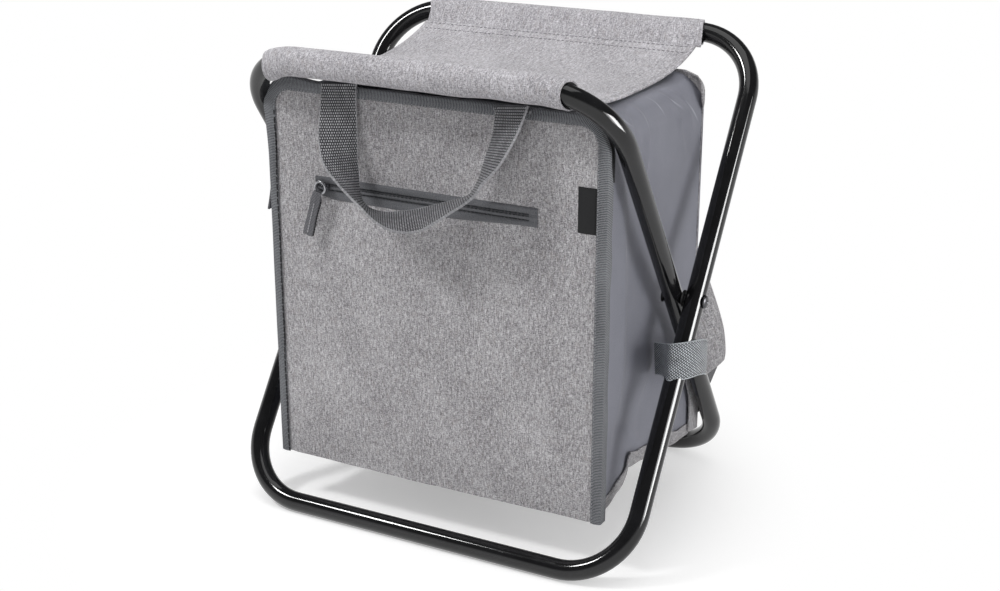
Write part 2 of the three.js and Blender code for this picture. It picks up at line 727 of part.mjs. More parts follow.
// The zipped pocket in the front panel, and the bare woven label beside it.
function buildPocket() {
  const tapeFront = frontFace - fitGap - zipTapeThickness;
  const pocketZipBottom = pocketZipTop - pocketZipHeight;
  const zipRight = bagHalf - pocketZipRightInset;
  addPiece('pocket_zip_tape', block(
    new THREE.Vector3(pocketZipLeft, tapeFront, pocketZipBottom),
    new THREE.Vector3(zipRight, tapeFront + zipTapeThickness, pocketZipTop)), 'zipTape');

  addPiece('pocket_lining', block(
    new THREE.Vector3(pocketZipLeft, liningFront, bagBottom + pocketZipHeight),
    new THREE.Vector3(zipRight, liningFront + pocketLiningThickness, pocketZipTop)), 'slateCloth');

  const sliderX = pocketZipLeft + sliderStart;
  const sliderMiddle = pocketZipBottom + pocketZipHeight / 2;
  const sliderBack = tapeFront - fitGap;
  const waistShare = 0.7;
  const slider = new THREE.Shape([
    new THREE.Vector2(sliderX, sliderMiddle - sliderWidth / 2),
    new THREE.Vector2(sliderX + sliderLength, sliderMiddle - sliderWidth * waistShare / 2),
    new THREE.Vector2(sliderX + sliderLength, sliderMiddle + sliderWidth * waistShare / 2),
    new THREE.Vector2(sliderX, sliderMiddle + sliderWidth / 2),
  ]);
  addPiece('pocket_zip_slider', alongY(slider, sliderBack - sliderHeight, sliderBack, 1), 'gunmetal');

  // The pull ring lies on the slider's front and swings about its middle.
  const ringY = sliderBack - sliderHeight - fitGap - pullThickness / 2;
  const ring = new THREE.TorusGeometry((ringDiameter - ringWire) / 2, ringWire / 2, 6, 14);
  ring.rotateX(Math.PI / 2);
  ring.translate(sliderX + sliderLength / 2, ringY, sliderMiddle);
  addPiece('pocket_pull_ring', ring, 'gunmetal');

  const tilt = THREE.MathUtils.degToRad(pullTilt);
  const hang = new THREE.Vector3(-Math.sin(tilt), 0, -Math.cos(tilt));
  const across = new THREE.Vector3(Math.cos(tilt), 0, -Math.sin(tilt));
  const pullStart = new THREE.Vector3(sliderX + sliderLength / 2, ringY, sliderMiddle);
  pullStart.addScaledVector(hang, ringDiameter / 2 + fitGap);
  const pullShares = [0, 0.3, 0.65, 1];
  const stations = pullShares.map((share) => ({
    at: pullStart.clone().addScaledVector(hang, share * pullLength),
    across,
    width: pullWidth,
  }));
  addPiece('pocket_pull_tab', ribbon(stations, pullThickness), 'binding');

  const labelRight = bagHalf - edgeBindingWidth - fitGap;
  addPiece('side_label', block(
    new THREE.Vector3(labelRight - labelWidth, frontFace - fitGap - labelThickness, labelTop - labelHeight),
    new THREE.Vector3(labelRight, frontFace - fitGap, labelTop)), 'label');
}

// The carry handle: webbing that leaves the top binding at two sewn folds, hangs in a
// loop in front of the panel and stands off it a little further at the bottom.
function buildHandle() {
  const rootY = bindingFront - handleStandoff;
  const half = handleSpan / 2;
  const fold = new THREE.CylinderGeometry(handleFoldRadius, handleFoldRadius, webbingWidth, 8);
  fold.rotateZ(Math.PI / 2);
  fold.translate(0, rootY, handleRoot);
  addPiece('left_handle_fold', fold.clone().translate(handleCentre - half, 0, 0), 'webbing');
  addPiece('right_handle_fold', fold.clone().translate(handleCentre + half, 0, 0), 'webbing');

  const start = handleFoldRadius + fitGap;
  const drop = handleDrop - webbingWidth / 2;
  const dropShares = [[-1, 0], [-0.98, 0.38], [-0.84, 0.72], [-0.45, 0.95], [0, 1],
    [0.4, 0.9], [0.72, 0.62], [0.9, 0.3], [1, 0]];
  const line = new THREE.CatmullRomCurve3(dropShares.map(([x, z]) => new THREE.Vector3(
    handleCentre + x * half, 0, -start - z * drop)));
  const steps = 24;
  const narrowingShare = 0.16;
  const stations = [];
  for (let i = 0; i <= steps; i += 1) {
    const at = line.getPoint(i / steps);
    const run = line.getTangent(i / steps);
    const bend = Math.sin(Math.PI * i / steps);
    stations.push({
      at,
      across: new THREE.Vector3(-run.z, 0, run.x),
      width: webbingWidth * (1 - narrowingShare * bend),
    });
  }
  stations[0].across = new THREE.Vector3(1, 0, 0);
  stations[steps].across = new THREE.Vector3(-1, 0, 0);
  const handle = ribbon(stations, webbingThickness);
  handle.rotateX(-THREE.MathUtils.degToRad(handleTilt));
  handle.translate(0, rootY, handleRoot);
  addPiece('carry_handle', handle, 'webbing');
}

// A point on a strap that wraps a leg: legX and the drop below the pivot give the leg's own
// centre, turn is the way round it from the outer side, and lean is -1 on the outer frame's
// leg and 1 on the inner one's.
function roundLeg(legX, drop, turn, lean) {
  const reach = tubeCorner + loopClearance + loopThickness / 2;
  const legY = lean * drop * rearward;
  const outward = new THREE.Vector3(1, 0, 0);
  const past = new THREE.Vector3(0, lean * Math.sin(legAngle), Math.cos(legAngle));
  return {
    at: new THREE.Vector3(legX, legY, pivotHeight - drop)
      .addScaledVector(outward, reach * Math.cos(turn))
      .addScaledVector(past, reach * Math.sin(turn)),
    across: new THREE.Vector3(0, -lean * Math.cos(legAngle), Math.sin(legAngle)),
    width: webbingWidth,
  };
}

// The webbing that is sewn to each side of the bag and wraps round both legs there.
function buildLegLoops() {
  const startX = gussetHalf + fitGap;
  const quarter = Math.PI / 2;
  const turns = [0, 1 / 4, 1 / 2, 3 / 4, 1];
  const front = turns.map((share) => roundLeg(outerHalf, loopFrontDrop, quarter * share, -1));
  const rear = turns.map((share) => roundLeg(innerHalf, loopRearDrop, quarter * share, 1));
  const frontEnd = { ...front[turns.length - 1], at: front[turns.length - 1].at.clone().setX(startX) };
  const rearEnd = { ...rear[turns.length - 1], at: rear[turns.length - 1].at.clone().setX(startX) };
  const route = [frontEnd, ...front.reverse(), ...rear, rearEnd];
  addPair('leg_loop', ribbon(route, loopThickness), 'paleWebbing');
}

// The route of a shoulder strap from top to bottom. The shares are the place across half the
// bag, the bow to the rear, the drop from top to low end, and the turn to the rear.
const strapRouteShares = [
  [0.42, 0, 0, 0],
  [0.48, 0.26, 0.21, 0.06],
  [0.64, 0.64, 0.44, 0.31],
  [0.83, 0.94, 0.68, 0.66],
  [0.975, 1, 0.87, 0.87],
  [1.022, 0.96, 1, 0.94],
];

// The padded shoulder straps on the back: each leaves the top of the back panel, bows out
// to the side, and its flat tail comes back to the bottom corner of the bag.
function buildShoulderStraps() {
  const nearBack = backFace + fitGap + strapThickness / 2;
  const legBack = strapLowDrop * rearward + tubeCorner / Math.sin(legAngle);
  const strapFront = Math.max(legBack + strapLegGap, backFace + strapThickness / 2);
  const strapOut = strapFront + strapWidth / 2 - nearBack;
  const stations = strapRouteShares.map(([xShare, outShare, dropShare, turnShare]) => {
    const turn = turnShare * Math.PI / 2;
    return {
      at: new THREE.Vector3(
        xShare * bagHalf, nearBack + outShare * strapOut, strapTop - dropShare * (strapTop - strapLow)),
      across: new THREE.Vector3(Math.cos(turn), Math.sin(turn), 0),
      width: strapWidth,
    };
  });
  addPair('shoulder_strap', ribbon(stations, strapThickness, paddedSectionShares), 'bagCloth');

  const seam = stations[stations.length - 1].at.clone();
  seam.x = bagHalf - webbingThickness / 2;
  seam.z -= webbingThickness;
  const corner = new THREE.Vector3(
    bagHalf - webbingThickness * 2, backFace + strapTailReach, bagBottom + strapTailRise);
  const tailShares = [0, 1 / 2, 1];
  const tail = tailShares.map((share) => ({
    at: seam.clone().lerp(corner, share),
    across: new THREE.Vector3(0, 1, 0),
    width: THREE.MathUtils.lerp(strapWidth, strapTailWidth, share),
  }));
  addPair('strap_tail', ribbon(tail, webbingThickness), 'webbing');
}

buildFrames();
buildPivots();
buildSeat();
buildBagCloth();
buildInsulation();
buildBindings();
buildPocket();
buildHandle();
buildLegLoops();
buildShoulderStraps();

export default stool;
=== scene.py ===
"""Looks of a folding cooler stool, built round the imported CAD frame.

Two black tube loops cross in an X under a sleeved cloth seat, and a soft cooler bag hangs
between them. Every size is in metres, +Z up and +Y to the rear, as in the frame.
"""

from __future__ import annotations

import logging
import math
from bisect import bisect_right
from dataclasses import dataclass, field
from enum import Enum
from typing import Callable, Sequence

import bmesh
import bpy
from mathutils import Matrix, Vector, noise


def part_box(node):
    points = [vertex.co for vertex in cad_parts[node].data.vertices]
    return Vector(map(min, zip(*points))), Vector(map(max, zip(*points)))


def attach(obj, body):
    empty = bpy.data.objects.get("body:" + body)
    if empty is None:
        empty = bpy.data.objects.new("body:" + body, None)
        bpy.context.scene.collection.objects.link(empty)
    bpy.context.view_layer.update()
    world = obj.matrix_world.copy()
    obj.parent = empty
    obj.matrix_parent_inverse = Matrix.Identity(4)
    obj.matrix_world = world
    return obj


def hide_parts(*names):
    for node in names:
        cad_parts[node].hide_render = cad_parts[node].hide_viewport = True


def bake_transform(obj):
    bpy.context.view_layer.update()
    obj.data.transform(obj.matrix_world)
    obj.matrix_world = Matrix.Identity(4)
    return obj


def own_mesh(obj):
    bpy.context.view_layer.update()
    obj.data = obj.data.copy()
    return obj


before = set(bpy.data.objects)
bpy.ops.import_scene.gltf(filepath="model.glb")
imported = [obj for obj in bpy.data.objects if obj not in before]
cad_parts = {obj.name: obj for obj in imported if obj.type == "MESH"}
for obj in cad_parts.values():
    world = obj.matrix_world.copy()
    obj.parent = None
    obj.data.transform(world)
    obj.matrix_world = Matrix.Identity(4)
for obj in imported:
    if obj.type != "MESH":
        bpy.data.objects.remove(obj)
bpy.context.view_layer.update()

Piece = bpy.types.Object
BMesh = bmesh.types.BMesh
Socket = bpy.types.NodeSocket
Placer = Callable[[float, float], Vector]
log = logging.getLogger("cooler_stool")

TO_RIGHT, TO_FRONT, TO_REAR, UP = (Vector(way) for way in ((1, 0, 0), (0, -1, 0), (0, 1, 0), (0, 0, 1)))
HAIR = Vector((0, 0, 0.0001))
WAVE_SCALE = 0.314159
CREASE_HALF = 0.0011
WARM_YARN = (0.30, 0.270, 0.262, 1.0)
WHITE = (1.0, 1.0, 1.0, 1.0)


class Side(Enum):
    """The two sides of the stool, with the sign of their X."""

    LEFT = -1
    RIGHT = 1

    def named(self, piece: str) -> str:
        """The piece's name with its side in front."""
        return f"{self.name.lower()}_{piece}"


class Body(Enum):
    """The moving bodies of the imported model."""

    OUTER = "outer_leg_frame"
    INNER = "inner_leg_frame"
    FRONT = "front_bag_panel"
    FLAP = "bag_flap"
    HANDLE = "handle_loop"
    POCKET_SLIDER = "pocket_slider"
    POCKET_PULL = "pocket_pull"
    MAIN_SLIDER = "main_slider"
    BACK = "back_bag_panel"


@dataclass(frozen=True)
class Sizes:
    """Main sizes of the stool, shared by its sub-assemblies."""

    tube: float = 0.008
    rail_out: float = 0.132
    rail_low: float = 0.008
    rail_top: float = 0.384
    pivot: float = 0.196
    outer_half: float = 0.176
    outer_bend: float = 0.055
    inner_half: float = 0.1578
    inner_bend: float = 0.056
    bag_half: float = 0.1485
    arch_bend: float = 0.030
    front: float = -0.111
    back: float = 0.084
    hinge: float = 0.3122

    @property
    def leg_length(self) -> float:
        """Length of one frame loop, from rail to rail."""
        return math.hypot(2 * self.rail_out, self.rail_top - self.rail_low)

    @property
    def leg_lean(self) -> float:
        """Lean of the outer legs from the floor."""
        return math.atan2(self.rail_top - self.rail_low, 2 * self.rail_out)


SIZES = Sizes()


# ---- small sums


def ease(value: float, low: float, high: float) -> float:
    """A smooth step from 0 at low to 1 at high.

    Args:
        value: Where the step is read.
        low: Where it starts.
        high: Where it ends.

    Returns:
        The height of the step, from 0 to 1.
    """
    share = min(max((value - low) / (high - low), 0.0), 1.0)
    return share * share * (3 - 2 * share)


def hump(value: float, middle: float, reach: float) -> float:
    """A smooth hump of height 1 at its middle, about reach wide on each side."""
    return math.exp(-((value - middle) / reach) ** 2)


def ruffle(x: float, y: float, z: float, scale: float) -> float:
    """Smooth noise from -1 to 1, the same at every run.

    Args:
        x: First coordinate.
        y: Second coordinate.
        z: Third coordinate.
        scale: Length of one wave.

    Returns:
        The noise there.
    """
    return noise.noise(Vector((x, y, z)) / scale)


def between(places: Sequence[tuple[float, float]], at: float) -> float:
    """A height read off a row of (place, height) pairs, with soft steps between them."""
    for (first, low), (last, high) in zip(places, places[1:]):
        if at <= last:
            return low + (high - low) * ease(at, first, last)
    return places[-1][1]


def linear(red: int, green: int, blue: int) -> tuple[float, float, float, float]:
    """A colour for a shader, from its screen values.

    Args:
        red: Red, from 0 to 255.
        green: Green, from 0 to 255.
        blue: Blue, from 0 to 255.

    Returns:
        The linear colour with full alpha.
    """
    def opened(value: int) -> float:
        """One channel in linear light."""
        share = value / 255
        return share / 12.92 if share <= 0.04045 else ((share + 0.055) / 1.055) ** 2.4
    return (opened(red), opened(green), opened(blue), 1.0)


# ---- materials


class Graph:
    """Adds and links the nodes of one tree."""

    def __init__(self, tree: bpy.types.NodeTree) -> None:
        """Takes the tree that the nodes go into."""
        self.tree = tree

    def feed(self, socket: Socket, value: object) -> None:
        """Links a socket to another one, or sets it."""
        if isinstance(value, Socket):
            self.tree.links.new(value, socket)
        else:
            socket.default_value = value

    def add(self, kind: str, inputs: dict | None = None, **settings: object) -> bpy.types.NodeOutputs:
        """One node, with its inputs linked or set.

        Args:
            kind: The node's type, less its prefix.
            inputs: A value or a socket for each named or numbered input.
            settings: The node's own settings.

        Returns:
            The node's outputs.
        """
        node = self.tree.nodes.new(f"ShaderNode{kind}")
        for name, value in settings.items():
            setattr(node, name, value)
        for name, value in (inputs or {}).items():
            self.feed(node.inputs[name], value)
        return node.outputs

    def sum(self, operation: str, *values: object) -> Socket:
        """One Math node over sockets or numbers."""
        return self.add("Math", dict(enumerate(values)), operation=operation)["Value"]

    def grade(self, value: Socket, *ends: float) -> Socket:
        """A smooth step, from the first two numbers to the last two."""
        inputs = dict(enumerate((value, *ends)))
        return self.add("MapRange", inputs, interpolation_type="SMOOTHSTEP")["Result"]


class Recipe(Graph):
    """Writes one node material round a Principled shader."""

    def __init__(self, name: str) -> None:
        """Starts the material with that name."""
        self.material = bpy.data.materials.new(name)
        self.material.use_nodes = True
        super().__init__(self.material.node_tree)
        self.shader = next(n for n in self.tree.nodes if n.type == "BSDF_PRINCIPLED")
        self.coordinates = self.add("TexCoord")

    def set(self, **values: object) -> None:
        """Sets or links the shader's own sockets, named with underscores."""
        for name, value in values.items():
            self.feed(self.shader.inputs[name.replace("_", " ")], value)

    def axes(self, source: str) -> bpy.types.NodeOutputs:
        """The X, Y and Z of the piece's "UV" or "Object" coordinates."""
        return self.add("SeparateXYZ", {0: self.coordinates[source]})

    def scaled(self, source: str, scale: Sequence[float]) -> Socket:
        """The piece's coordinates, with that many units of the pattern in a metre."""
        return self.add("Mapping", {"Vector": self.coordinates[source], "Scale": scale})["Vector"]

    def noise(self, source: str, scale: Sequence[float], detail: float = 2.0, roughness: float = 0.5) -> Socket:
        """Noise with that many waves in a metre along each coordinate."""
        inputs = {"Vector": self.scaled(source, scale), "Scale": 1.0, "Detail": detail, "Roughness": roughness}
        return self.add("TexNoise", inputs)["Fac"]

    def wave(self, at: Socket, direction: str, distortion: float = 0.0) -> Socket:
        """A smooth wave along X or Y. One unit of the coordinates is one wave."""
        inputs = {"Vector": at, "Scale": WAVE_SCALE, "Distortion": distortion}
        return self.add("TexWave", inputs, bands_direction=direction)["Fac"]

    def bricks(self, width: float, row: float, gap: float) -> Socket:
        """Rows of threads, in millimetres, each set off by half a thread: 1 on a thread, 0 between."""
        shades = {"Color1": (1.0, 1.0, 1.0, 1.0), "Color2": (0.8, 0.8, 0.8, 1.0), "Mortar": (0.0, 0.0, 0.0, 1.0)}
        return self.add("TexBrick", {
            "Vector": self.scaled("UV", (1000, 1000, 1)), "Scale": 1.0, **shades, "Mortar Size": gap,
            "Mortar Smooth": 0.6, "Brick Width": width, "Row Height": row})["Color"]

    def average(self, first: object, second: object, share: float) -> Socket:
        """The first value and a share of the second."""
        rest = self.sum("MULTIPLY", second, share)
        return self.sum("MULTIPLY_ADD", first, 1.0 - share, rest)

    def ramp(self, factor: object, *stops: tuple[float, tuple]) -> Socket:
        """A colour ramp.

        Args:
            factor: Where the ramp is read.
            stops: Place and colour of each stop.

        Returns:
            The colour socket.
        """
        node = self.tree.nodes.new("ShaderNodeValToRGB")
        elements = node.color_ramp.elements
        while len(elements) < len(stops):
            elements.new(0.5)
        for element, (place, colour) in zip(elements, stops):
            element.position = place
            element.color = colour
        self.feed(node.inputs["Fac"], factor)
        return node.outputs["Color"]

    def tint(self, low: object, high: object, factor: object) -> Socket:
        """One colour turning into another."""
        return self.add("Mix", {0: factor, 6: low, 7: high}, data_type="RGBA")[2]

    def bump(self, height: Socket, depth: float, strength: float = 1.0) -> None:
        """Raises the surface by a height of that depth in metres."""
        bump = self.add("Bump", {"Strength": strength, "Distance": depth, "Height": height})
        self.feed(self.shader.inputs["Normal"], bump["Normal"])


@dataclass(frozen=True)
class MelangeCloth:
    """Two-tone woven cloth with slubby light and dark yarns."""

    name: str
    slot: str
    dark: tuple
    middle: tuple
    light: tuple

    def build(self) -> bpy.types.Material:
        """The cloth on the piece's own UV map, with threads along both edges."""
        recipe = Recipe(self.name)
        warp = recipe.noise("UV", (1150, 300, 1), 3.0, 0.75)
        weft = recipe.noise("UV", (380, 1200, 1), 3.0, 0.75)
        slub = recipe.noise("UV", (560, 105, 1), 2.0, 0.5)
        blotch = recipe.noise("UV", (24, 14, 1), 3.0, 0.6)
        grain = recipe.noise("UV", (1350, 1350, 1), 1.0)
        yarns = recipe.average(recipe.average(warp, weft, 0.46), slub, 0.18)
        tone = recipe.average(recipe.average(yarns, grain, 0.20), blotch, 0.08)
        colour = recipe.ramp(tone, (0.425, self.dark), (0.5, self.middle), (0.575, self.light))
        warm = recipe.noise("UV", (330, 120, 1), 2.0)
        share = recipe.ramp(warm, (0.52, (0, 0, 0, 1)), (0.8, (0.5, 0.5, 0.5, 1)))
        recipe.set(Base_Color=recipe.tint(colour, WARM_YARN, share), Roughness=recipe.average(0.92, weft, 0.1))
        recipe.set(Sheen_Weight=0.12, Sheen_Roughness=0.5, Specular_IOR_Level=0.2)
        fibre = recipe.noise("UV", (2600, 2600, 1), 1.0)
        recipe.bump(recipe.average(yarns, fibre, 0.3), 0.0006, 0.55)
        return recipe.material


@dataclass(frozen=True)
class PlainCloth:
    """Tight plain-woven cloth with a soft sheen, with a painted highlight in pale lines along the sharpest creases.

    Each crease is the Y and Z of its two ends, in metres, seen from the side.
    """

    name: str
    slot: str
    colour: tuple
    lighter: tuple
    creases: tuple = ()
    crease_highlight: tuple = ()

    def build(self) -> bpy.types.Material:
        """The cloth on the piece's own UV map."""
        recipe = Recipe(self.name)
        threads = recipe.bricks(0.9, 0.45, 0.08)
        cast = recipe.noise("UV", (24, 24, 1), 4.0, 0.6)
        fine = recipe.noise("UV", (1100, 1100, 1), 2.0, 0.7)
        tone = recipe.average(recipe.average(cast, fine, 0.45), threads, 0.1)
        colour = recipe.ramp(tone, (0.3, self.colour), (0.72, self.lighter))
        if self.creases:
            # Painted highlight: a pale colour along each crease stands in for the sheen on its ridge.
            colour = recipe.tint(colour, (*self.crease_highlight[:3], 1.0), self._painted_crease_highlight(recipe))
        recipe.set(Base_Color=colour, Roughness=recipe.average(0.72, cast, 0.15))
        recipe.set(Sheen_Weight=0.1, Sheen_Roughness=0.4, Specular_IOR_Level=0.3)
        recipe.bump(recipe.average(threads, fine, 0.5), 0.0002, 0.4)
        return recipe.material

    def _painted_crease_highlight(self, recipe: Recipe) -> Socket:
        """How strong the painted crease highlight is: up to a half along a crease, fading towards its ends."""
        at = recipe.axes("Object")
        wear_and_highlight: object = 0.0
        for y0, z0, y1, z1 in self.creases:
            length = math.hypot(y1 - y0, z1 - z0)
            run_y, run_z = (y1 - y0) / length, (z1 - z0) / length
            y = recipe.sum("SUBTRACT", at["Y"], y0)
            z = recipe.sum("SUBTRACT", at["Z"], z0)
            along = recipe.sum("ADD", recipe.sum("MULTIPLY", y, run_y), recipe.sum("MULTIPLY", z, run_z))
            off = recipe.sum("SUBTRACT", recipe.sum("MULTIPLY", y, run_z), recipe.sum("MULTIPLY", z, run_y))
            line = recipe.sum("SUBTRACT", 1.0, recipe.sum("MULTIPLY", recipe.sum("ABSOLUTE", off), 1 / CREASE_HALF))
            mid = recipe.sum("ABSOLUTE", recipe.sum("SUBTRACT", along, length / 2))
            fade = recipe.sum("SUBTRACT", 1.0, recipe.sum("MULTIPLY", mid, 2 / length))
            mark = recipe.sum("MULTIPLY", recipe.sum("MAXIMUM", line, 0.0), recipe.sum("MAXIMUM", fade, 0.0))
            wear_and_highlight = recipe.sum("MAXIMUM", wear_and_highlight, mark)
        return recipe.sum("MULTIPLY", wear_and_highlight, 0.6)


@dataclass(frozen=True)
class Webbing:
    """Woven strap with rows of raised picks between dark gaps."""

    name: str
    slot: str
    gap: tuple
    pick: tuple
    width: float
    row: float
    depth: float
    strap: float = 0.030
    selvedge: float = 0.0007

    def build(self) -> bpy.types.Material:
        """The weave on the strap's own UV map, with rows across the strap and a plain edge."""
        recipe = Recipe(self.name)
        weave = recipe.bricks(self.width, self.row, 0.26 * self.row)
        off = recipe.sum("ABSOLUTE", recipe.sum("SUBTRACT", recipe.axes("UV")["X"], self.strap / 2))
        edge = recipe.sum("GREATER_THAN", off, self.strap / 2 - self.selvedge)
        picks = recipe.sum("MAXIMUM", weave, recipe.sum("MULTIPLY", edge, 0.62))
        wear_and_highlight = recipe.noise("UV", (150, 60, 1), 3.0)
        fine = recipe.noise("UV", (1800, 1800, 1), 1.0)
        tone = recipe.sum("MULTIPLY", picks, recipe.average(wear_and_highlight, fine, 0.55))
        recipe.set(Base_Color=recipe.ramp(tone, (0.05, self.gap), (0.62, self.pick)))
        recipe.set(Roughness=recipe.average(0.62, fine, 0.2), Specular_IOR_Level=0.35)
        recipe.set(Sheen_Weight=0.08, Sheen_Roughness=0.4)
        recipe.bump(recipe.average(picks, fine, 0.2), self.depth, 0.9)
        return recipe.material


@dataclass(frozen=True)
class RibbedTape:
    """Thin woven tape with fine ribs across its length."""

    name: str
    slot: str
    dark: tuple
    light: tuple
    pitch: float

    def build(self) -> bpy.types.Material:
        """The tape on its own UV map, with its length along V."""
        recipe = Recipe(self.name)
        ribs = recipe.wave(recipe.scaled("UV", (60, 1 / self.pitch, 1)), "Y", 0.6)
        fine = recipe.noise("UV", (1500, 900, 1), 2.0, 0.7)
        cast = recipe.noise("UV", (60, 22, 1), 3.0)
        tone = recipe.average(recipe.average(ribs, fine, 0.62), cast, 0.22)
        recipe.set(Base_Color=recipe.ramp(tone, (0.36, self.dark), (0.62, self.light)))
        recipe.set(Roughness=recipe.average(0.78, fine, 0.15), Specular_IOR_Level=0.25)
        recipe.set(Sheen_Weight=0.1, Sheen_Roughness=0.45)
        recipe.bump(recipe.average(ribs, fine, 0.35), 0.0003, 0.6)
        return recipe.material


@dataclass(frozen=True)
class GlossPaint:
    """Black powder paint with a glossy skin and a faint orange peel."""

    name: str
    slot: str
    colour: tuple
    roughness: float

    def build(self) -> bpy.types.Material:
        """The paint on the piece's Object coordinates."""
        recipe = Recipe(self.name)
        peel = recipe.noise("Object", (420, 420, 420), 2.0)
        dust = recipe.noise("Object", (45, 45, 45), 4.0, 0.65)
        recipe.set(Base_Color=recipe.ramp(dust, (0.3, self.colour), (0.8, linear(26, 26, 28))))
        recipe.set(Roughness=recipe.average(self.roughness, dust, 0.05), Specular_IOR_Level=0.5)
        recipe.bump(peel, 0.00002, 0.25)
        return recipe.material


@dataclass(frozen=True)
class BareMetal:
    """Plated or plain metal with fine scratches."""

    name: str
    slot: str
    dark: tuple
    light: tuple
    roughness: float

    def build(self) -> bpy.types.Material:
        """The metal on the piece's Object coordinates."""
        recipe = Recipe(self.name)
        scratch = recipe.noise("Object", (900, 2600, 1400), 3.0, 0.6)
        recipe.set(Base_Color=recipe.ramp(scratch, (0.3, self.dark), (0.7, self.light)))
        recipe.set(Roughness=recipe.average(self.roughness, scratch, 0.2), Metallic=0.95)
        recipe.bump(scratch, 0.00003, 0.3)
        return recipe.material


@dataclass(frozen=True)
class SoftPlastic:
    """Matt plastic, foam or thread with a mottled tone."""

    name: str
    slot: str
    dark: tuple
    light: tuple
    roughness: float
    grain: float
    depth: float = 0.0001

    def build(self) -> bpy.types.Material:
        """The plastic on the piece's Object coordinates."""
        recipe = Recipe(self.name)
        cells = recipe.noise("Object", (self.grain,) * 3, 3.0, 0.6)
        recipe.set(Base_Color=recipe.ramp(cells, (0.3, self.dark), (0.7, self.light)))
        recipe.set(Roughness=self.roughness, Specular_IOR_Level=0.3)
        recipe.bump(cells, self.depth, 0.5)
        return recipe.material


@dataclass(frozen=True)
class CrinkledFoil:
    """Silvery laminated film with soft creases."""

    name: str
    slot: str

    def build(self) -> bpy.types.Material:
        """The film on the piece's own UV map."""
        recipe = Recipe(self.name)
        crease = recipe.noise("UV", (55, 55, 1), 5.0, 0.7)
        weave = recipe.bricks(2.4, 2.4, 0.1)
        recipe.set(Base_Color=recipe.ramp(crease, (0.3, linear(176, 180, 184)), (0.7, linear(214, 217, 220))))
        recipe.set(Roughness=recipe.average(0.28, crease, 0.35), Metallic=0.75)
        recipe.bump(recipe.average(crease, weave, 0.12), 0.0016, 0.7)
        return recipe.material


FRONT_CLOTH = MelangeCloth("front_melange_cloth", "bag_cloth",
                          linear(104, 101, 104), linear(161, 159, 162), linear(212, 211, 213))
# Painted shade: the back, base and shoulder straps use the front melange painted darker, for faces turned away from the
# lamps.
SHADED_BACK_CLOTH = MelangeCloth("back_melange_cloth_painted_shade", "bag_cloth",
                         linear(96, 94, 97), linear(150, 148, 151), linear(200, 199, 201))
# Painted light: the seat and its sleeves use the front melange painted lighter, for their upward faces under the top
# lamp.
LIT_SEAT_CLOTH = MelangeCloth("seat_melange_cloth_painted_light", "seat_cloth",
                         linear(116, 114, 118), linear(168, 166, 170), linear(214, 212, 217))
# The side cloth's sharpest creases; a pale painted highlight runs along each, in the slate cloth's last colour.
SIDE_CREASES = ((-0.0245, 0.3540, -0.0118, 0.2990), (-0.0237, 0.3540, -0.0110, 0.2990),
                (0.0240, 0.3535, 0.0480, 0.3370), (0.0560, 0.3430, 0.0760, 0.3200),
                (-0.0640, 0.3560, -0.0500, 0.3420),
                (-0.0534, 0.2560, -0.0524, 0.2340), (0.0040, 0.3545, 0.0120, 0.3380))
SLATE_CLOTH = PlainCloth("slate_side_cloth", "slate_cloth", linear(115, 116, 126), linear(133, 134, 144),
                         SIDE_CREASES, linear(186, 189, 198))
LINING_CLOTH = PlainCloth("pocket_lining_cloth", "slate_cloth", linear(96, 97, 102), linear(112, 113, 118))
HANDLE_WEBBING = Webbing("handle_webbing", "webbing", linear(44, 44, 48), linear(196, 196, 200), 1.85, 2.15, 0.0007)
LOOP_WEBBING = Webbing("loop_webbing", "pale_webbing", linear(46, 49, 54), linear(240, 246, 252), 2.2, 2.4, 0.0007)
STRAP_TAIL_WEBBING = Webbing("strap_tail_webbing", "webbing",
                             linear(50, 50, 53), linear(118, 118, 122), 2.2, 1.4, 0.0004)
BINDING_TAPE = RibbedTape("binding_tape", "binding", linear(46, 47, 51), linear(138, 140, 144), 0.0013)
ZIP_TAPE = RibbedTape("zip_tape", "zip_tape", linear(60, 61, 65), linear(126, 127, 131), 0.0009)
HOOP_TAPE = RibbedTape("hoop_zip_tape", "zip_tape", linear(14, 14, 16), linear(44, 44, 47), 0.0009)
COIL = SoftPlastic("zip_coil", "zip_tape", linear(40, 41, 44), linear(62, 63, 66), 0.45, 900, 0.00005)
# Near-black beads that paint shade lines, beside the left binding and down the folded edge of the pocket pull.
SHADE_CORD = SoftPlastic("painted_shade_cord", "zip_tape", linear(22, 22, 24), linear(40, 40, 42), 0.7, 900, 0.00005)
FRAME_PAINT = GlossPaint("black_frame_paint", "paint", linear(14, 14, 15), 0.07)
RIVET_STEEL = BareMetal("rivet_steel", "steel", linear(60, 60, 62), linear(96, 96, 99), 0.3)
JOINER_STEEL = BareMetal("joiner_steel", "steel", linear(120, 121, 123), linear(160, 161, 163), 0.35)
ZIP_METAL = BareMetal("zip_gunmetal", "gunmetal", linear(132, 133, 136), linear(190, 191, 195), 0.24)
SLIDER_METAL = BareMetal("slider_gunmetal", "gunmetal", linear(52, 53, 56), linear(104, 105, 109), 0.24)
WASHER_NYLON = SoftPlastic("washer_nylon", "nylon", linear(22, 22, 23), linear(34, 34, 35), 0.5, 600)
THREAD = SoftPlastic("sewing_thread", "binding", linear(92, 92, 96), linear(124, 124, 128), 0.8, 2500)
BINDING_THREAD = SoftPlastic("binding_thread", "binding", linear(136, 136, 140), linear(164, 164, 168), 0.8, 2500)
PALE_THREAD = SoftPlastic("pale_thread", "bag_cloth", linear(128, 126, 129), linear(156, 154, 157), 0.8, 2500)
PULL_THREAD = SoftPlastic("pull_thread", "binding", linear(158, 158, 162), linear(190, 190, 194), 0.8, 2500)
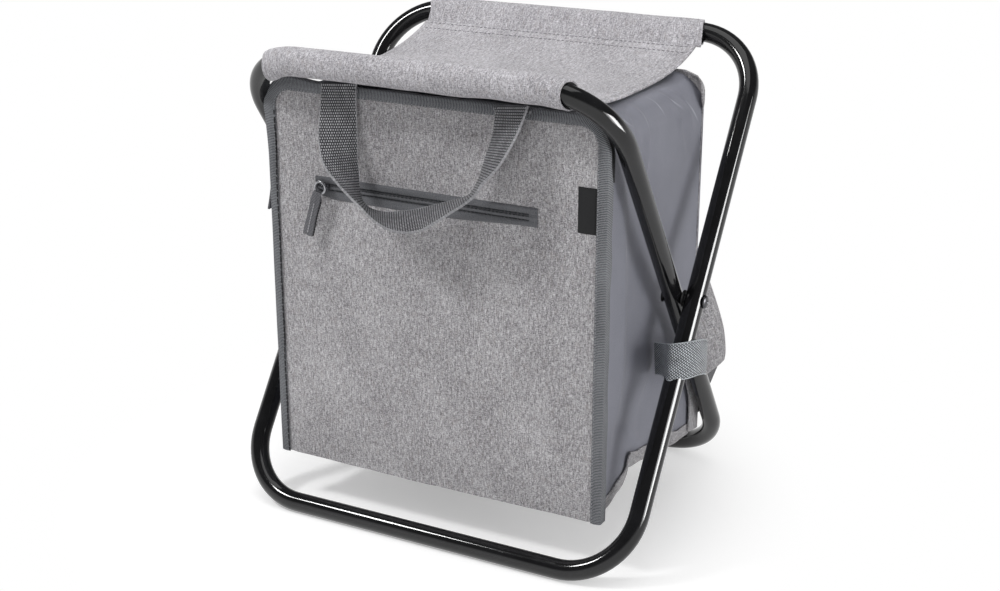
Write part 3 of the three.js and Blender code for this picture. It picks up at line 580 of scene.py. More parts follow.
SEAM_THREAD = SoftPlastic("seam_thread", "bag_cloth", linear(96, 95, 99), linear(128, 126, 130), 0.85, 2500)
LABEL_WEAVE = PlainCloth("label_weave", "label", linear(22, 22, 24), linear(34, 34, 36))
PULL_WEBBING = RibbedTape("pull_webbing", "binding", linear(62, 62, 66), linear(122, 122, 126), 0.0012)
FOAM = SoftPlastic("closed_cell_foam", "foam", linear(206, 206, 202), linear(232, 232, 228), 0.85, 700, 0.0003)
LINER_FOIL = CrinkledFoil("liner_foil", "foil")


# ---- making meshes

_built: dict[str, bpy.types.Material] = {}


def dress(piece: Piece, finish: object) -> Piece:
    """Gives a piece its material.

    Args:
        piece: The piece, its own mesh or a CAD node.
        finish: One of the finishes above.

    Returns:
        The piece.
    """
    if finish.name not in _built:
        _built[finish.name] = finish.build()
    if not piece.material_slots:
        piece.data.materials.append(None)
    for slot in piece.material_slots:
        slot.material = _built[finish.name]
    return piece


def settle(piece: Piece, crease: float = 38.0) -> Piece:
    """Applies a piece's modifiers, smooths its faces and marks its creases.

    Args:
        piece: The piece with its modifiers.
        crease: Angle in degrees from which an edge stays sharp.

    Returns:
        The piece with a final mesh.
    """
    graph = bpy.context.evaluated_depsgraph_get()
    final = bpy.data.meshes.new_from_object(piece.evaluated_get(graph))
    piece.modifiers.clear()
    old, piece.data = piece.data, final
    bpy.data.meshes.remove(old)
    final.name = piece.name
    bm = bmesh.new()
    bm.from_mesh(final)
    for face in bm.faces:
        face.smooth = True
    for edge in bm.edges:
        sharp = len(edge.link_faces) == 2 and edge.calc_face_angle() > math.radians(crease)
        edge.smooth = not sharp
    bm.to_mesh(final)
    bm.free()
    return piece


def piece_from(name: str, bm: BMesh, recalculate: bool = True) -> Piece:
    """A new object from a bmesh, with its place in its mesh.

    Args:
        name: The piece's name.
        bm: The finished mesh, which is freed.
        recalculate: Whether the faces are turned outwards.

    Returns:
        The object, linked to the scene.
    """
    if recalculate:
        bmesh.ops.remove_doubles(bm, verts=bm.verts, dist=1e-6)
        bmesh.ops.recalc_face_normals(bm, faces=bm.faces)
    for face in bm.faces:
        face.smooth = True
    mesh = bpy.data.meshes.new(name)
    bm.to_mesh(mesh)
    bm.free()
    piece = bpy.data.objects.new(name, mesh)
    bpy.context.scene.collection.objects.link(piece)
    return piece


def block(bm: BMesh, middle: Sequence[float], size: Sequence[float]) -> None:
    """Adds a box to a bmesh."""
    bmesh.ops.create_cube(bm, size=1.0, matrix=Matrix.Translation(middle) @ Matrix.Diagonal((*size, 1.0)))


def rounded(bm: BMesh, edges: Sequence, offset: float, segments: int) -> None:
    """Rounds those edges of a bmesh."""
    bmesh.ops.bevel(bm, geom=list(edges), offset=offset, offset_type="OFFSET", segments=segments,
                    profile=0.5, affect="EDGES", material=-1)


def split_long(bm: BMesh, cuts: int) -> None:
    """Cuts every edge over 50 mm that many times, with a grid between the cuts."""
    edges = [edge for edge in bm.edges if edge.calc_length() > 0.05]
    bmesh.ops.subdivide_edges(bm, edges=edges, cuts=cuts, use_grid_fill=True)


def walled(piece: Piece, thickness: float) -> None:
    """Gives an open sheet its wall, inwards from its outer face."""
    wall = piece.modifiers.new("wall", "SOLIDIFY")
    wall.thickness = thickness
    wall.offset = -1.0


@dataclass
class ClothSheet:
    """A sheet that starts as a flat grid and is laid out in space.

    place gives the position for a share across and a share along. The cloth's outer face
    looks along the cross product of the two directions, or the other way where flip is set. flat is
    measured when it is built.
    """

    name: str
    place: Placer
    steps: tuple[int, int]
    thickness: float
    pattern: Callable[[Vector], tuple[float, float]] | None = None
    flip: bool = False
    flat: tuple[float, float] = (0.0, 0.0)
    area: float = 0.0

    def build(self) -> Piece:
        """Makes the grid, measures its cut and gives it its thickness.

        Returns:
            The sheet's object with a final mesh.
        """
        across, along = self.steps
        bm = bmesh.new()
        uv = bm.loops.layers.uv.new("UVMap")
        bmesh.ops.create_grid(bm, x_segments=across, y_segments=along, size=0.5, calc_uvs=True)
        bm.verts.ensure_lookup_table()
        shares = [(vert.co.x + 0.5, vert.co.y + 0.5) for vert in bm.verts]
        for vert, (u, v) in zip(bm.verts, shares):
            vert.co = self.place(min(max(u, 0.0), 1.0), min(max(v, 0.0), 1.0))
        self._measure(bm, shares)
        for face in bm.faces:
            for loop in face.loops:
                u, v = shares[loop.vert.index]
                plain = (u * self.flat[0], v * self.flat[1])
                loop[uv].uv = self.pattern(loop.vert.co) if self.pattern else plain
        if self.flip:
            bmesh.ops.reverse_faces(bm, faces=bm.faces)
        piece = piece_from(self.name, bm, recalculate=False)
        walled(piece, self.thickness)
        return settle(piece)

    def _measure(self, bm: BMesh, shares: Sequence[tuple[float, float]]) -> None:
        """Finds the cut size from the mean length of the rows and columns."""
        rows = sum(e.calc_length() for e in bm.edges if self._runs(e, shares, 0))
        columns = sum(e.calc_length() for e in bm.edges if self._runs(e, shares, 1))
        self.flat = (rows / (self.steps[1] + 1), columns / (self.steps[0] + 1))
        self.area = sum(face.calc_area() for face in bm.faces)

    @staticmethod
    def _runs(edge: bmesh.types.BMEdge, shares: Sequence[tuple[float, float]], way: int) -> bool:
        """Whether an edge runs across (0) or along (1) the sheet."""
        first, second = (shares[vert.index] for vert in edge.verts)
        return abs(first[way] - second[way]) > abs(first[1 - way] - second[1 - way])

    def declare(self) -> None:
        """Reads the sheet's cut and returns, narrow or not, without doing anything with it.
        """
        width, length = self.flat
        if min(self.flat) < 0.010:
            return


def turned(profile: Sequence[tuple[float, float]], centre: Vector, steps: int) -> BMesh:
    """A round part, spun about X from a profile of (place along the axis, radius).

    Args:
        profile: The points of the half outline.
        centre: Where the axis starts.
        steps: Sides of the round part.

    Returns:
        The bmesh with the closed part.
    """
    bm = bmesh.new()
    verts = [bm.verts.new(centre + Vector((place, 0, radius))) for place, radius in profile]
    edges = [bm.edges.new(pair) for pair in zip(verts, verts[1:])]
    bmesh.ops.spin(bm, geom=verts + edges, cent=centre, axis=TO_RIGHT, dvec=(0, 0, 0),
                   angle=2 * math.pi, steps=steps, use_merge=True, use_duplicate=False)
    return bm


def lofted(rings: Sequence[Sequence[Vector]]) -> BMesh:
    """A closed form through matching rings: a circle that is extruded from ring to ring.

    Args:
        rings: The points of each ring, in the same order.

    Returns:
        The bmesh, capped at both ends.
    """
    bm = bmesh.new()
    count = len(rings[0])
    made = bmesh.ops.create_circle(bm, cap_ends=False, segments=count, radius=1.0)
    loop = sorted(made["verts"], key=lambda vert: math.atan2(vert.co.y, vert.co.x))
    first = list(loop)
    for vert, spot in zip(loop, rings[0]):
        vert.co = spot
    for ring in rings[1:]:
        edges = [bm.edges.get((a, b)) for a, b in zip(loop, loop[1:] + loop[:1])]
        before = {vert: place for place, vert in enumerate(loop)}
        grown = bmesh.ops.extrude_edge_only(bm, edges=edges)["geom"]
        fresh = [item for item in grown if isinstance(item, bmesh.types.BMVert)]
        after: list = [None] * count
        for vert in fresh:
            source = next(e.other_vert(vert) for e in vert.link_edges if e.other_vert(vert) in before)
            after[before[source]] = vert
        loop = after
        for vert, spot in zip(loop, ring):
            vert.co = spot
    bmesh.ops.contextual_create(bm, geom=[bm.edges.get((a, b)) for a, b in zip(first, first[1:] + first[:1])])
    bmesh.ops.contextual_create(bm, geom=[bm.edges.get((a, b)) for a, b in zip(loop, loop[1:] + loop[:1])])
    bmesh.ops.recalc_face_normals(bm, faces=bm.faces)
    return bm


def map_along(piece: Piece, girth: int, width: float, length: float) -> None:
    """Gives a lofted piece a UV map in metres, round its ring and along its run.

    Args:
        piece: A piece that was made by lofted, before any modifier.
        girth: Points in a ring.
        width: Way round the ring in metres.
        length: Length of the run in metres.
    """
    mesh = piece.data
    layer = mesh.uv_layers.new(name="UVMap")
    rings = max(len(mesh.vertices) // girth - 1, 1)
    for polygon in mesh.polygons:
        spots = [mesh.loops[i].vertex_index for i in polygon.loop_indices]
        wraps = max(s % girth for s in spots) - min(s % girth for s in spots) > girth / 2
        for i, spot in zip(polygon.loop_indices, spots):
            turn = spot % girth
            turn += girth if wraps and turn < girth / 2 else 0
            layer.data[i].uv = (turn / girth * width, spot // girth / rings * length)


@dataclass
class Stitching:
    """Rows of short raised stitches, made as one piece."""

    name: str
    finish: object
    length: float = 0.0016
    pitch: float = 0.0026
    width: float = 0.00035
    rows: list[tuple[list[Vector], Vector]] = field(default_factory=list)

    def row(self, line: Sequence[Vector], outward: Vector) -> None:
        """Adds a row along a line of points, raised towards outward."""
        self.rows.append((list(line), outward.normalized()))

    def follow(self, place: Callable[[float], Vector], steps: int, outward: Vector) -> None:
        """Adds a row through the places of the shares from 0 to 1."""
        self.row([place(step / steps) for step in range(steps + 1)], outward)

    def build(self) -> Piece:
        """Sets one stitch at each pitch along every row.

        Returns:
            The object with all the stitches.
        """
        bm = bmesh.new()
        for line, outward in self.rows:
            left = self.pitch / 2
            for start, end in zip(line, line[1:]):
                run = end - start
                span = run.length
                while left < span:
                    self._stitch(bm, start + run * (left / span), run.normalized(), outward)
                    left += self.pitch
                left -= span
        piece = piece_from(self.name, bm)
        return dress(piece, self.finish)

    def _stitch(self, bm: BMesh, at: Vector, run: Vector, outward: Vector) -> None:
        """One stitch: a small long bead, half sunk in the cloth."""
        side = run.cross(outward).normalized()
        up = side.cross(run)
        turn = Matrix((run, side, up)).transposed().to_4x4()
        shape = Matrix.Diagonal((self.length / 2, self.width / 2, self.width / 2, 1.0))
        bmesh.ops.create_icosphere(bm, subdivisions=1, radius=1.0, matrix=Matrix.Translation(at) @ turn @ shape)


@dataclass(frozen=True)
class ArchLine:
    """The outline of the bag's front: up one side, over two round corners, down the other."""

    half: float
    low: float
    high: float
    bend: float

    @property
    def upright(self) -> float:
        """Length of one straight side."""
        return self.high - self.bend - self.low

    @property
    def length(self) -> float:
        """Length of the whole line."""
        return 2 * self.upright + math.pi * self.bend + 2 * (self.half - self.bend)

    def at(self, way: float) -> tuple[float, float, float, float]:
        """A point on the line and the direction outwards there.

        Args:
            way: Distance along the line, from the foot of the left side.

        Returns:
            X, Z, and the outward direction's X and Z.
        """
        arc = math.pi / 2 * self.bend
        top = 2 * (self.half - self.bend)
        if way <= self.upright:
            return -self.half, self.low + way, -1.0, 0.0
        way -= self.upright
        if way <= arc:
            turn = math.pi - way / self.bend
            return self._round(-1, turn)
        way -= arc
        if way <= top:
            return self.bend - self.half + way, self.high, 0.0, 1.0
        way -= top
        if way <= arc:
            return self._round(1, math.pi / 2 - way / self.bend)
        way -= arc
        return self.half, self.high - self.bend - way, 1.0, 0.0

    def _round(self, side: int, turn: float) -> tuple[float, float, float, float]:
        """A point on one of the round corners."""
        x = side * (self.half - self.bend) + self.bend * math.cos(turn)
        z = self.high - self.bend + self.bend * math.sin(turn)
        return x, z, math.cos(turn), math.sin(turn)


def stations(points: Sequence[Vector], steps: int) -> list[Vector]:
    """Points on a smooth line through the given ones.

    Args:
        points: The points that the line goes through.
        steps: How many spans the line gets.

    Returns:
        The points on the line, one more than steps.
    """
    line = []
    for step in range(steps + 1):
        place = step / steps * (len(points) - 1)
        i = min(int(place), len(points) - 2)
        t = place - i
        before = points[max(i - 1, 0)]
        after = points[min(i + 2, len(points) - 1)]
        a, b = points[i], points[i + 1]
        line.append(0.5 * ((2 * a) + (b - before) * t + (2 * before - 5 * a + 4 * b - after) * t * t
                           + (3 * a - before - 3 * b + after) * t ** 3))
    return line


def evened(first: Sequence[Vector], second: Sequence[Vector], steps: int) -> tuple[list[Vector], list[Vector]]:
    """Samples the two edges of a strap at even lengths of its middle line.

    Args:
        first: Many points on the one edge.
        second: The points opposite them on the other edge.
        steps: How many spans the strap gets.

    Returns:
        The points on both edges, one more than steps.
    """
    run = [0.0]
    for i in range(1, len(first)):
        run.append(run[-1] + ((first[i] + second[i]) - (first[i - 1] + second[i - 1])).length / 2)
    inner, outer = [], []
    for step in range(steps + 1):
        goal = run[-1] * step / steps
        i = min(max(bisect_right(run, goal), 1), len(run) - 1)
        share = (goal - run[i - 1]) / max(run[i] - run[i - 1], 1e-9)
        inner.append(first[i - 1].lerp(first[i], share))
        outer.append(second[i - 1].lerp(second[i], share))
    return inner, outer


def millimetres(x: float, y: float, z: float) -> Vector:
    """A point given in millimetres."""
    return Vector((x, y, z)) / 1000


# ---- leg frames


@dataclass
class TubeLoop:
    """One bent steel tube loop, smooth round its section and its four bends."""

    name: str
    node: str
    body: Body
    half: float
    bend: float
    lean: float
    bottom_rail: float
    sides: int = 40
    bend_steps: int = 18

    def build(self) -> Piece:
        """Runs a circle round the loop by straight extrusions and quarter spins.

        Returns:
            The dressed loop on its body.
        """
        length = SIZES.leg_length
        reach = self.half - self.bend
        bm = bmesh.new()
        start = Matrix.Translation((0, length, 0)) @ Matrix.Rotation(math.pi / 2, 4, "Y")
        bmesh.ops.create_circle(bm, segments=self.sides, radius=SIZES.tube, matrix=start)
        edges = list(bm.edges)
        straights = [(reach, 0), (0, 2 * self.bend - length), (-2 * reach, 0), (0, length - 2 * self.bend), (reach, 0)]
        centres = [(reach, length - self.bend), (reach, self.bend), (-reach, self.bend), (-reach, length - self.bend)]
        for place, (x, y) in enumerate(straights):
            grown = bmesh.ops.extrude_edge_only(bm, edges=edges)["geom"]
            verts = [item for item in grown if isinstance(item, bmesh.types.BMVert)]
            edges = [item for item in grown if isinstance(item, bmesh.types.BMEdge)
                     and all(vert in verts for vert in item.verts)]
            bmesh.ops.translate(bm, verts=verts, vec=(x, y, 0))
            if place < len(centres):
                last = bmesh.ops.spin(bm, geom=verts + edges, cent=(*centres[place], 0), axis=(0, 0, -1),
                                      dvec=(0, 0, 0), angle=math.pi / 2, steps=self.bend_steps,
                                      use_merge=False, use_duplicate=False)
                edges = [item for item in last["geom_last"] if isinstance(item, bmesh.types.BMEdge)]
        bmesh.ops.remove_doubles(bm, verts=bm.verts, dist=1e-5)
        bmesh.ops.rotate(bm, verts=bm.verts, cent=(0, 0, 0), matrix=Matrix.Rotation(self.lean, 3, "X"))
        bmesh.ops.translate(bm, verts=bm.verts, vec=(0, self.bottom_rail, SIZES.rail_low))
        piece = dress(piece_from(self.name, bm), FRAME_PAINT)
        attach(piece, self.body.value)
        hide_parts(self.node)
        return piece


@dataclass
class LegFrames:
    """The two crossed loops with their rivets, washers and inner joiners."""

    head: float = 0.0055
    shank: float = 0.003

    def build(self) -> list[Piece]:
        """Makes the loops and pivots.

        Returns:
            Every piece of the frame.
        """
        lean = SIZES.leg_lean
        made = [
            TubeLoop("outer_tube_loop", "outer_frame", Body.OUTER, SIZES.outer_half, SIZES.outer_bend,
                     lean, -SIZES.rail_out).build(),
            TubeLoop("inner_tube_loop", "inner_frame", Body.INNER, SIZES.inner_half, SIZES.inner_bend,
                     math.pi - lean, SIZES.rail_out).build(),
        ]
        for side in Side:
            made.append(self._rivet(side))
            made.append(self._washer(side))
        for node in ("outer_frame_joiner", "inner_frame_joiner"):
            made.append(dress(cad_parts[node], JOINER_STEEL))
        return made

    def _rivet(self, side: Side) -> Piece:
        """A rivet with a domed outer head that has a small flat, and a flat inner head."""
        low, high = (corner.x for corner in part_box(side.named("pivot_rivet")))
        inner, outer = (low, high) if side is Side.RIGHT else (high, low)
        sign = side.value
        dome = [(outer - sign * 0.0022 + sign * 0.0022 * math.sin(turn), self.head * math.cos(turn) ** 0.8)
                for turn in (step / 8 * math.radians(64) for step in range(9))]
        profile = [(inner, 0.0), (inner, self.head * 0.86), (inner + sign * 0.0003, self.head),
                   (inner + sign * 0.0006, self.head), (inner + sign * 0.0006, self.shank),
                   (outer - sign * 0.0022, self.shank), *dome,
                   (outer - sign * 0.0001, self.head * 0.34), (outer - sign * 0.0007, self.head * 0.24),
                   (outer - sign * 0.0007, 0.0)]
        bm = turned(profile, Vector((0, 0, SIZES.pivot)), 32)
        piece = settle(dress(piece_from(side.named("rivet"), bm), RIVET_STEEL), 50)
        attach(piece, Body.OUTER.value)
        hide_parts(side.named("pivot_rivet"))
        return piece

    def _washer(self, side: Side) -> Piece:
        """A flat nylon washer with rounded rims between the two legs."""
        low, high = (corner.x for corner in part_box(side.named("pivot_washer")))
        radius, bore, rim = 0.007, 0.0033, 0.0003
        profile = [(low, bore), (low, radius - rim), (low + rim, radius), (high - rim, radius),
                   (high, radius - rim), (high, bore), (low, bore)]
        bm = turned(profile, Vector((0, 0, SIZES.pivot)), 32)
        piece = settle(dress(piece_from(side.named("washer"), bm), WASHER_NYLON), 50)
        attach(piece, Body.OUTER.value)
        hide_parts(side.named("pivot_washer"))
        return piece


# ---- seat


@dataclass
class Seat:
    """The sling seat: a cloth panel sewn to a sleeve round each top rail."""

    left: float = -0.1335
    right: float = 0.1247
    skin: float = 0.0104
    tip_reach: float = 0.018
    tip_drop: float = 0.0084
    flank: float = 0.17
    reach: float = 0.1137
    panel_wall: float = 0.0015
    sleeve_wall: float = 0.0011

    def build(self) -> list[Piece]:
        """Makes the panel, both sleeves and their stitching.

        Returns:
            Every piece of the seat.
        """
        front = self._sleeve("seat_front_sleeve", "front_sleeve", Body.INNER, -1,
                             SIZES.inner_half, SIZES.inner_bend)
        rear = self._sleeve("seat_rear_sleeve", "rear_sleeve", Body.OUTER, 1,
                            SIZES.outer_half, SIZES.outer_bend)
        return [*front, *rear, *self._panel()]

    def _surface(self, u: float, v: float) -> Vector:
        """A point on the panel's upper face, from left to right and from front to rear."""
        y = (v - 0.5) * 2 * self.reach
        spread = math.cos(math.pi * (u - 0.5))
        depth = 0.0090 + 0.0132 * (1 - abs(y / self.reach) ** 3.2) + 0.0014 * hump(y, 0.02, 0.05)
        depth += 0.0016 * (1 - spread) * math.sin(math.pi * v)
        depth -= 0.0008 * ruffle(u * 0.25, y, 0.3, 0.05) * math.sin(math.pi * v)
        bow = 0.0042 * math.sin(math.pi * v) ** 1.5
        x = self.left + (self.right - self.left) * u
        x += bow * (1 - 2 * u) * abs(1 - 2 * u) ** 2
        curl = 0.0010 * (hump(u, 0.0, 0.02) + hump(u, 1.0, 0.02)) * math.sin(math.pi * v)
        return Vector((x, y, SIZES.rail_top - depth + 0.0006 - curl))

    def _panel(self) -> list[Piece]:
        """The sagging panel with its hemmed edges."""
        sheet = ClothSheet("seat_sling", self._surface, (72, 64), self.panel_wall,
                           pattern=lambda at: (at.x, at.y * 1.02))
        panel = dress(sheet.build(), LIT_SEAT_CLOTH)
        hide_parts("seat_panel")
        seams = Stitching("stitching_seat_hems", PALE_THREAD)
        for inset in (0.016, 0.023):
            for edge in (inset, 1 - inset):
                seams.follow(lambda v: self._surface(edge, v) + HAIR, 40, UP)
        stitches = seams.build()
        joins = Stitching("seam_seat_sleeves", SEAM_THREAD, length=0.0036, pitch=0.0042, width=0.0008)
        for edge in (0.985, 0.945, 0.015):
            joins.follow(lambda u: self._surface(0.02 + 0.96 * u, edge) + HAIR, 30, UP)
        seam = joins.build()
        for piece in (panel, stitches, seam):
            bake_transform(piece)
        sheet.declare()
        return [panel, stitches, seam]

    def _sleeve(self, name: str, node: str, body: Body, side: int, half: float, bend: float) -> list[Piece]:
        """One sleeve, open at both ends and following the rail into its bends.

        Args:
            name: The piece's name.
            node: The CAD node that it stands for.
            body: The loop that carries it.
            side: 1 for the rear rail and -1 for the front one.
            half: Half the loop's width.
            bend: Radius of the loop's corners.

        Returns:
            The sleeve and its stitching.
        """
        length = SIZES.leg_length
        down = Vector((-2 * SIZES.rail_out / length, -(SIZES.rail_top - SIZES.rail_low) / length))

        def place(u: float, v: float) -> Vector:
            """A point round the sleeve (v) at a place along the rail (u)."""
            x = self.left + (self.right - self.left) * u
            past = max(abs(x) - (half - bend), 0.0)
            heading = math.asin(past / bend)
            centre = down * bend * (1 - math.cos(heading))
            stretch = 1 / math.cos(heading) - 1
            tip = Vector((-self.tip_reach, -self.tip_drop)) - centre
            tip -= down * tip.dot(down) * stretch / (1 + stretch)
            aim = math.atan2(tip.y, tip.x)
            spread = math.acos(self.skin / tip.length)
            first, last = aim - spread, aim + spread - 2 * math.pi
            flank = self.flank
            if v < flank:
                start = Vector((math.cos(first), math.sin(first))) * self.skin
                point = tip.lerp(start, v / flank)
            elif v > 1 - flank:
                start = Vector((math.cos(last), math.sin(last))) * self.skin
                point = tip.lerp(start, (1 - v) / flank)
            else:
                turn = first + (last - first) * (v - flank) / (1 - 2 * flank)
                point = Vector((math.cos(turn), math.sin(turn))) * self.skin
            slack = ease(v, 0.42, 0.72) * (1 - ease(v, 0.80, 1.0))
            loose = 0.0022 + 0.0010 * ruffle(x, v * 0.06, side, 0.035)
            point += Vector((0.25, -1.0)) * slack * loose * (1 - hump(u, 0, 0.02) - hump(u, 1, 0.02))
            point *= 1 + 0.03 * ruffle(x, v * 0.08, 2 + side, 0.022)
            point = point + down * point.dot(down) * stretch + centre
            if v == 0.0 or v == 1.0:
                point = Vector((-self.tip_reach, -self.tip_drop - (0.0013 if v == 1.0 else 0.0)))
            slant = -0.0026 * point.x / 0.01 * ease(u, 0.86, 1.0) - 0.0004 * ease(u, 0.9, 1.0)
            slant -= (0.0040 * max(point.y, 0.0) / self.skin - 0.0012) * (1 - ease(u, 0.0, 0.07))
            return Vector((x + slant, side * (SIZES.rail_out + point.x), SIZES.rail_top + point.y))

        outwards = (lambda u, v: place(u, 1 - v)) if side < 0 else place
        sheet = ClothSheet(name, outwards, (84, 40), self.sleeve_wall)
        sleeve = dress(sheet.build(), LIT_SEAT_CLOTH)
        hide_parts(node)
        seams = Stitching(f"stitching_{name}", PALE_THREAD)
        for inset in (0.02, 0.98):
            line = [place(inset, 0.02 + 0.9 * step / 30) for step in range(31)]
            for start, end in zip(line, line[1:]):
                middle = (start + end) / 2
                out = Vector((0, middle.y - side * SIZES.rail_out, middle.z - SIZES.rail_top))
                seams.row([start + out.normalized() * 0.0001, end + out.normalized() * 0.0001], out)
        stitches = seams.build()
        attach(sleeve, body.value)
        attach(stitches, body.value)
        sheet.declare()
        return [sleeve, stitches]


# ---- front of the bag


def front_swell(x: float, z: float) -> float:
    """How far the front cloth stands out of its plane: a soft, slightly wavy pillow."""
    across = math.cos(math.pi / 2 * min(abs(x) / 0.1465, 1.0)) ** 0.7
    low = ease(z, 0.046, 0.080) * (1 - 0.72 * ease(z, 0.215, 0.285)) * (1 - ease(z, 0.335, 0.360))
    waves = 0.0009 * ruffle(x, z, 0.2, 0.075) + 0.0004 * ruffle(x, z, 0.5, 0.03)
    return across * (0.0026 * low + waves * (0.3 + 0.7 * low))


def on_front(x: float, z: float, proud: float = 0.0) -> Vector:
    """A point on the front cloth's face, or that much in front of it."""
    return Vector((x, SIZES.front - front_swell(x, z) - proud, z))


@dataclass
class BagFront:
    """The front panel and flap: one face of cloth, bound with tape all round its rim."""

    cloth_half: float = 0.1465
    cloth_top: float = 0.3607
    corner: float = 0.028
    side_tape: float = 0.0085
    top_tape: float = 0.0085
    wrap: float = 0.0090
    turn: tuple = (0.306, 0.318)
    wall: float = 0.0011
    tape_wall: float = 0.0010
    rim_steps: int = 150
    pull_steps: int = 26
    pull_width: float = 0.0056

    @property
    def rim(self) -> ArchLine:
        """The outer edge of the binding."""
        return ArchLine(SIZES.bag_half, 0.0425, 0.3634, SIZES.arch_bend)

    def _face(self, x: float, z: float, nx: float, nz: float) -> float:
        """Width of the binding's face: down to a squarer inner line with small corners."""
        side, top, bend = SIZES.bag_half - self.side_tape, self.rim.high - self.top_tape, 0.014
        if nz < 0.001:
            return self.side_tape
        rise, across = z - (top - bend), abs(x) - (side - bend)
        reach_top = (z - top) / nz
        if abs(x) - abs(nx) * reach_top <= side - bend:
            return reach_top
        if abs(nx) > 0.001:
            reach_side = (abs(x) - side) / abs(nx)
            if z - nz * reach_side <= top - bend:
                return reach_side
        along = rise * nz + across * abs(nx)
        return along - math.sqrt(max(bend ** 2 - rise ** 2 - across ** 2 + along ** 2, 0.0))

    def build(self) -> list[Piece]:
        """Makes the cloth, the binding, the rows of stitches and the painted shade line beside the left binding.

        Returns:
            Every piece of the front, less its pocket.
        """
        cloth_sheet = ClothSheet("front_cloth", self._cloth, (88, 110), self.wall, pattern=lambda at: (at.x, at.z))
        cloth = dress(cloth_sheet.build(), FRONT_CLOTH)
        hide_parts("front_panel", "front_flap")
        tape_sheet = ClothSheet("front_binding", self._tape, (14, 260), self.tape_wall, flip=True)
        tape = dress(tape_sheet.build(), BINDING_TAPE)
        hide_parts("left_edge_binding", "right_edge_binding", "flap_binding")
        inner = Stitching("stitching_front_binding", BINDING_THREAD, length=0.0018, width=0.0008)
        outer = Stitching("stitching_binding_side", THREAD)
        span = self.rim.length
        steps = self.rim_steps
        face, flank = ([self._tape(share, step / steps) for step in range(steps + 1)] for share in (0.055, 0.93))
        for start, end in zip(face, face[1:]):
            inner.row([start, end], TO_FRONT)
        for step, (start, end) in enumerate(zip(flank, flank[1:])):
            _, _, nx, nz = self.rim.at((step + 0.5) / steps * span)
            outer.row([start, end], Vector((nx, 0, nz)))
        # Painted shade: a row of near-black beads up the left binding's inner edge stands in for the shadow line
        # between binding and panel.
        edge = Stitching("left_binding_painted_shade_line", SHADE_CORD, length=0.0056, pitch=0.0040, width=0.0016)
        for start, end in zip(face[:50], face[1:50]):
            shifts = [Vector((0.0003 + 0.0007 * ruffle(0.1, 0.2, at.z, 0.03), 0.0002, 0)) for at in (start, end)]
            edge.row([start + shifts[0], end + shifts[1]], TO_FRONT)
        sewn = [inner.build(), outer.build(), edge.build()]
        for piece in (cloth, tape, *sewn):
            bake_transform(piece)
        cloth_sheet.declare()
        tape_sheet.declare()
        return [cloth, tape, *sewn, *self._zip()]

    def _cloth(self, u: float, v: float) -> Vector:
        """A point on the face, from left to right and from bottom to top."""
        foot = 0.0432 - 0.0016 * math.cos(math.pi * (u - 0.5)) + 0.0006 * ruffle(u * 0.3, 0.1, 0.2, 0.05)
        z = foot + (self.cloth_top - foot) * v
        half = self.cloth_half
        over = z - (self.cloth_top - self.corner)
        if over > 0:
            half -= self.corner - math.sqrt(max(self.corner ** 2 - over ** 2, 0.0))
        return on_front(half * (2 * u - 1), z)

    def _tape(self, u: float, v: float) -> Vector:
        """A point on the binding: across it from its inner edge round the rim to its side edge."""
        way = v * self.rim.length
        x, z, nx, nz = self.rim.at(way)
        face = self._face(x, z, nx, nz)
        round_over = min(0.0014, face * 0.4)
        front = SIZES.front - 0.0012
        ripple = 0.0005 * ruffle(x, u * 0.02, z, 0.045)
        puff = 0.0009 * ruffle(x, 0.3, z, 0.022) * ease(u, 0.5, 0.8)
        total = face + self.wrap - 0.0042 * ease(z, 0.305, 0.335)
        run = u * total
        loose = self._pucker(x, z, nx, nz) * min(run / face, 1.0)
        if run < face - round_over:
            inset = face - run
            lift = -0.0007 * math.cos(math.pi * min(run / (face - round_over), 1.0) - math.pi / 2) ** 2
            depth = front + lift + ripple - front_swell(x - nx * inset, z - nz * inset)
        elif run < face + round_over:
            turn = (run - face + round_over) / (2 * round_over) * math.pi / 2
            inset = round_over * (1 - math.sin(turn))
            depth = front + ripple + round_over * (1 - math.cos(turn))
        else:
            inset = -puff
            depth = front + ripple + run - face
        return Vector((x - nx * (inset - loose), depth, z - nz * (inset - loose)))

    def _pucker(self, x: float, z: float, nx: float, nz: float) -> float:
        """How far the tape stands out at the left top corner, where it turns squarely."""
        square = 0.0030 * max(-2 * nx * nz, 0.0)
        return ease(-x, 0.098, 0.130) * (0.0026 * ease(z, 0.296, 0.344) + square)

    def _zip(self) -> list[Piece]:
        """The main zip round the flap's rim, its slider at the left, and its long pull."""
        line = ArchLine(0.1474, SIZES.hinge + 0.0004, 0.3615, SIZES.arch_bend)

        def hoop(u: float, v: float) -> Vector:
            """A point on the zip tape: from its front edge to its rear, along the arch."""
            x, z, nx, nz = line.at(v * line.length)
            slack = 0.0006 * math.sin(math.pi * u)
            return Vector((x - nx * slack, SIZES.front + 0.0008 + 0.0120 * u, z - nz * slack))

        steps = self.rim_steps
        sheet = ClothSheet("main_zip_hoop", hoop, (6, steps), 0.0007, flip=True)
        tape = dress(sheet.build(), HOOP_TAPE)
        coil = Stitching("main_zip_coil", COIL, length=0.0009, pitch=0.0012, width=0.0011)
        for depth in (0.0101, 0.0115):
            for step in range(steps):
                points = []
                for way in (step, step + 1):
                    x, z, nx, nz = line.at(way / steps * line.length)
                    points.append(Vector((x, SIZES.front + depth, z)))
                coil.row(points, Vector((nx, 0, nz)))
        teeth = coil.build()
        for piece in (tape, teeth):
            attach(piece, Body.FRONT.value)
        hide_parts("main_zip_tape")
        sheet.declare()
        return [tape, teeth, *self._slider(), self._pull()]

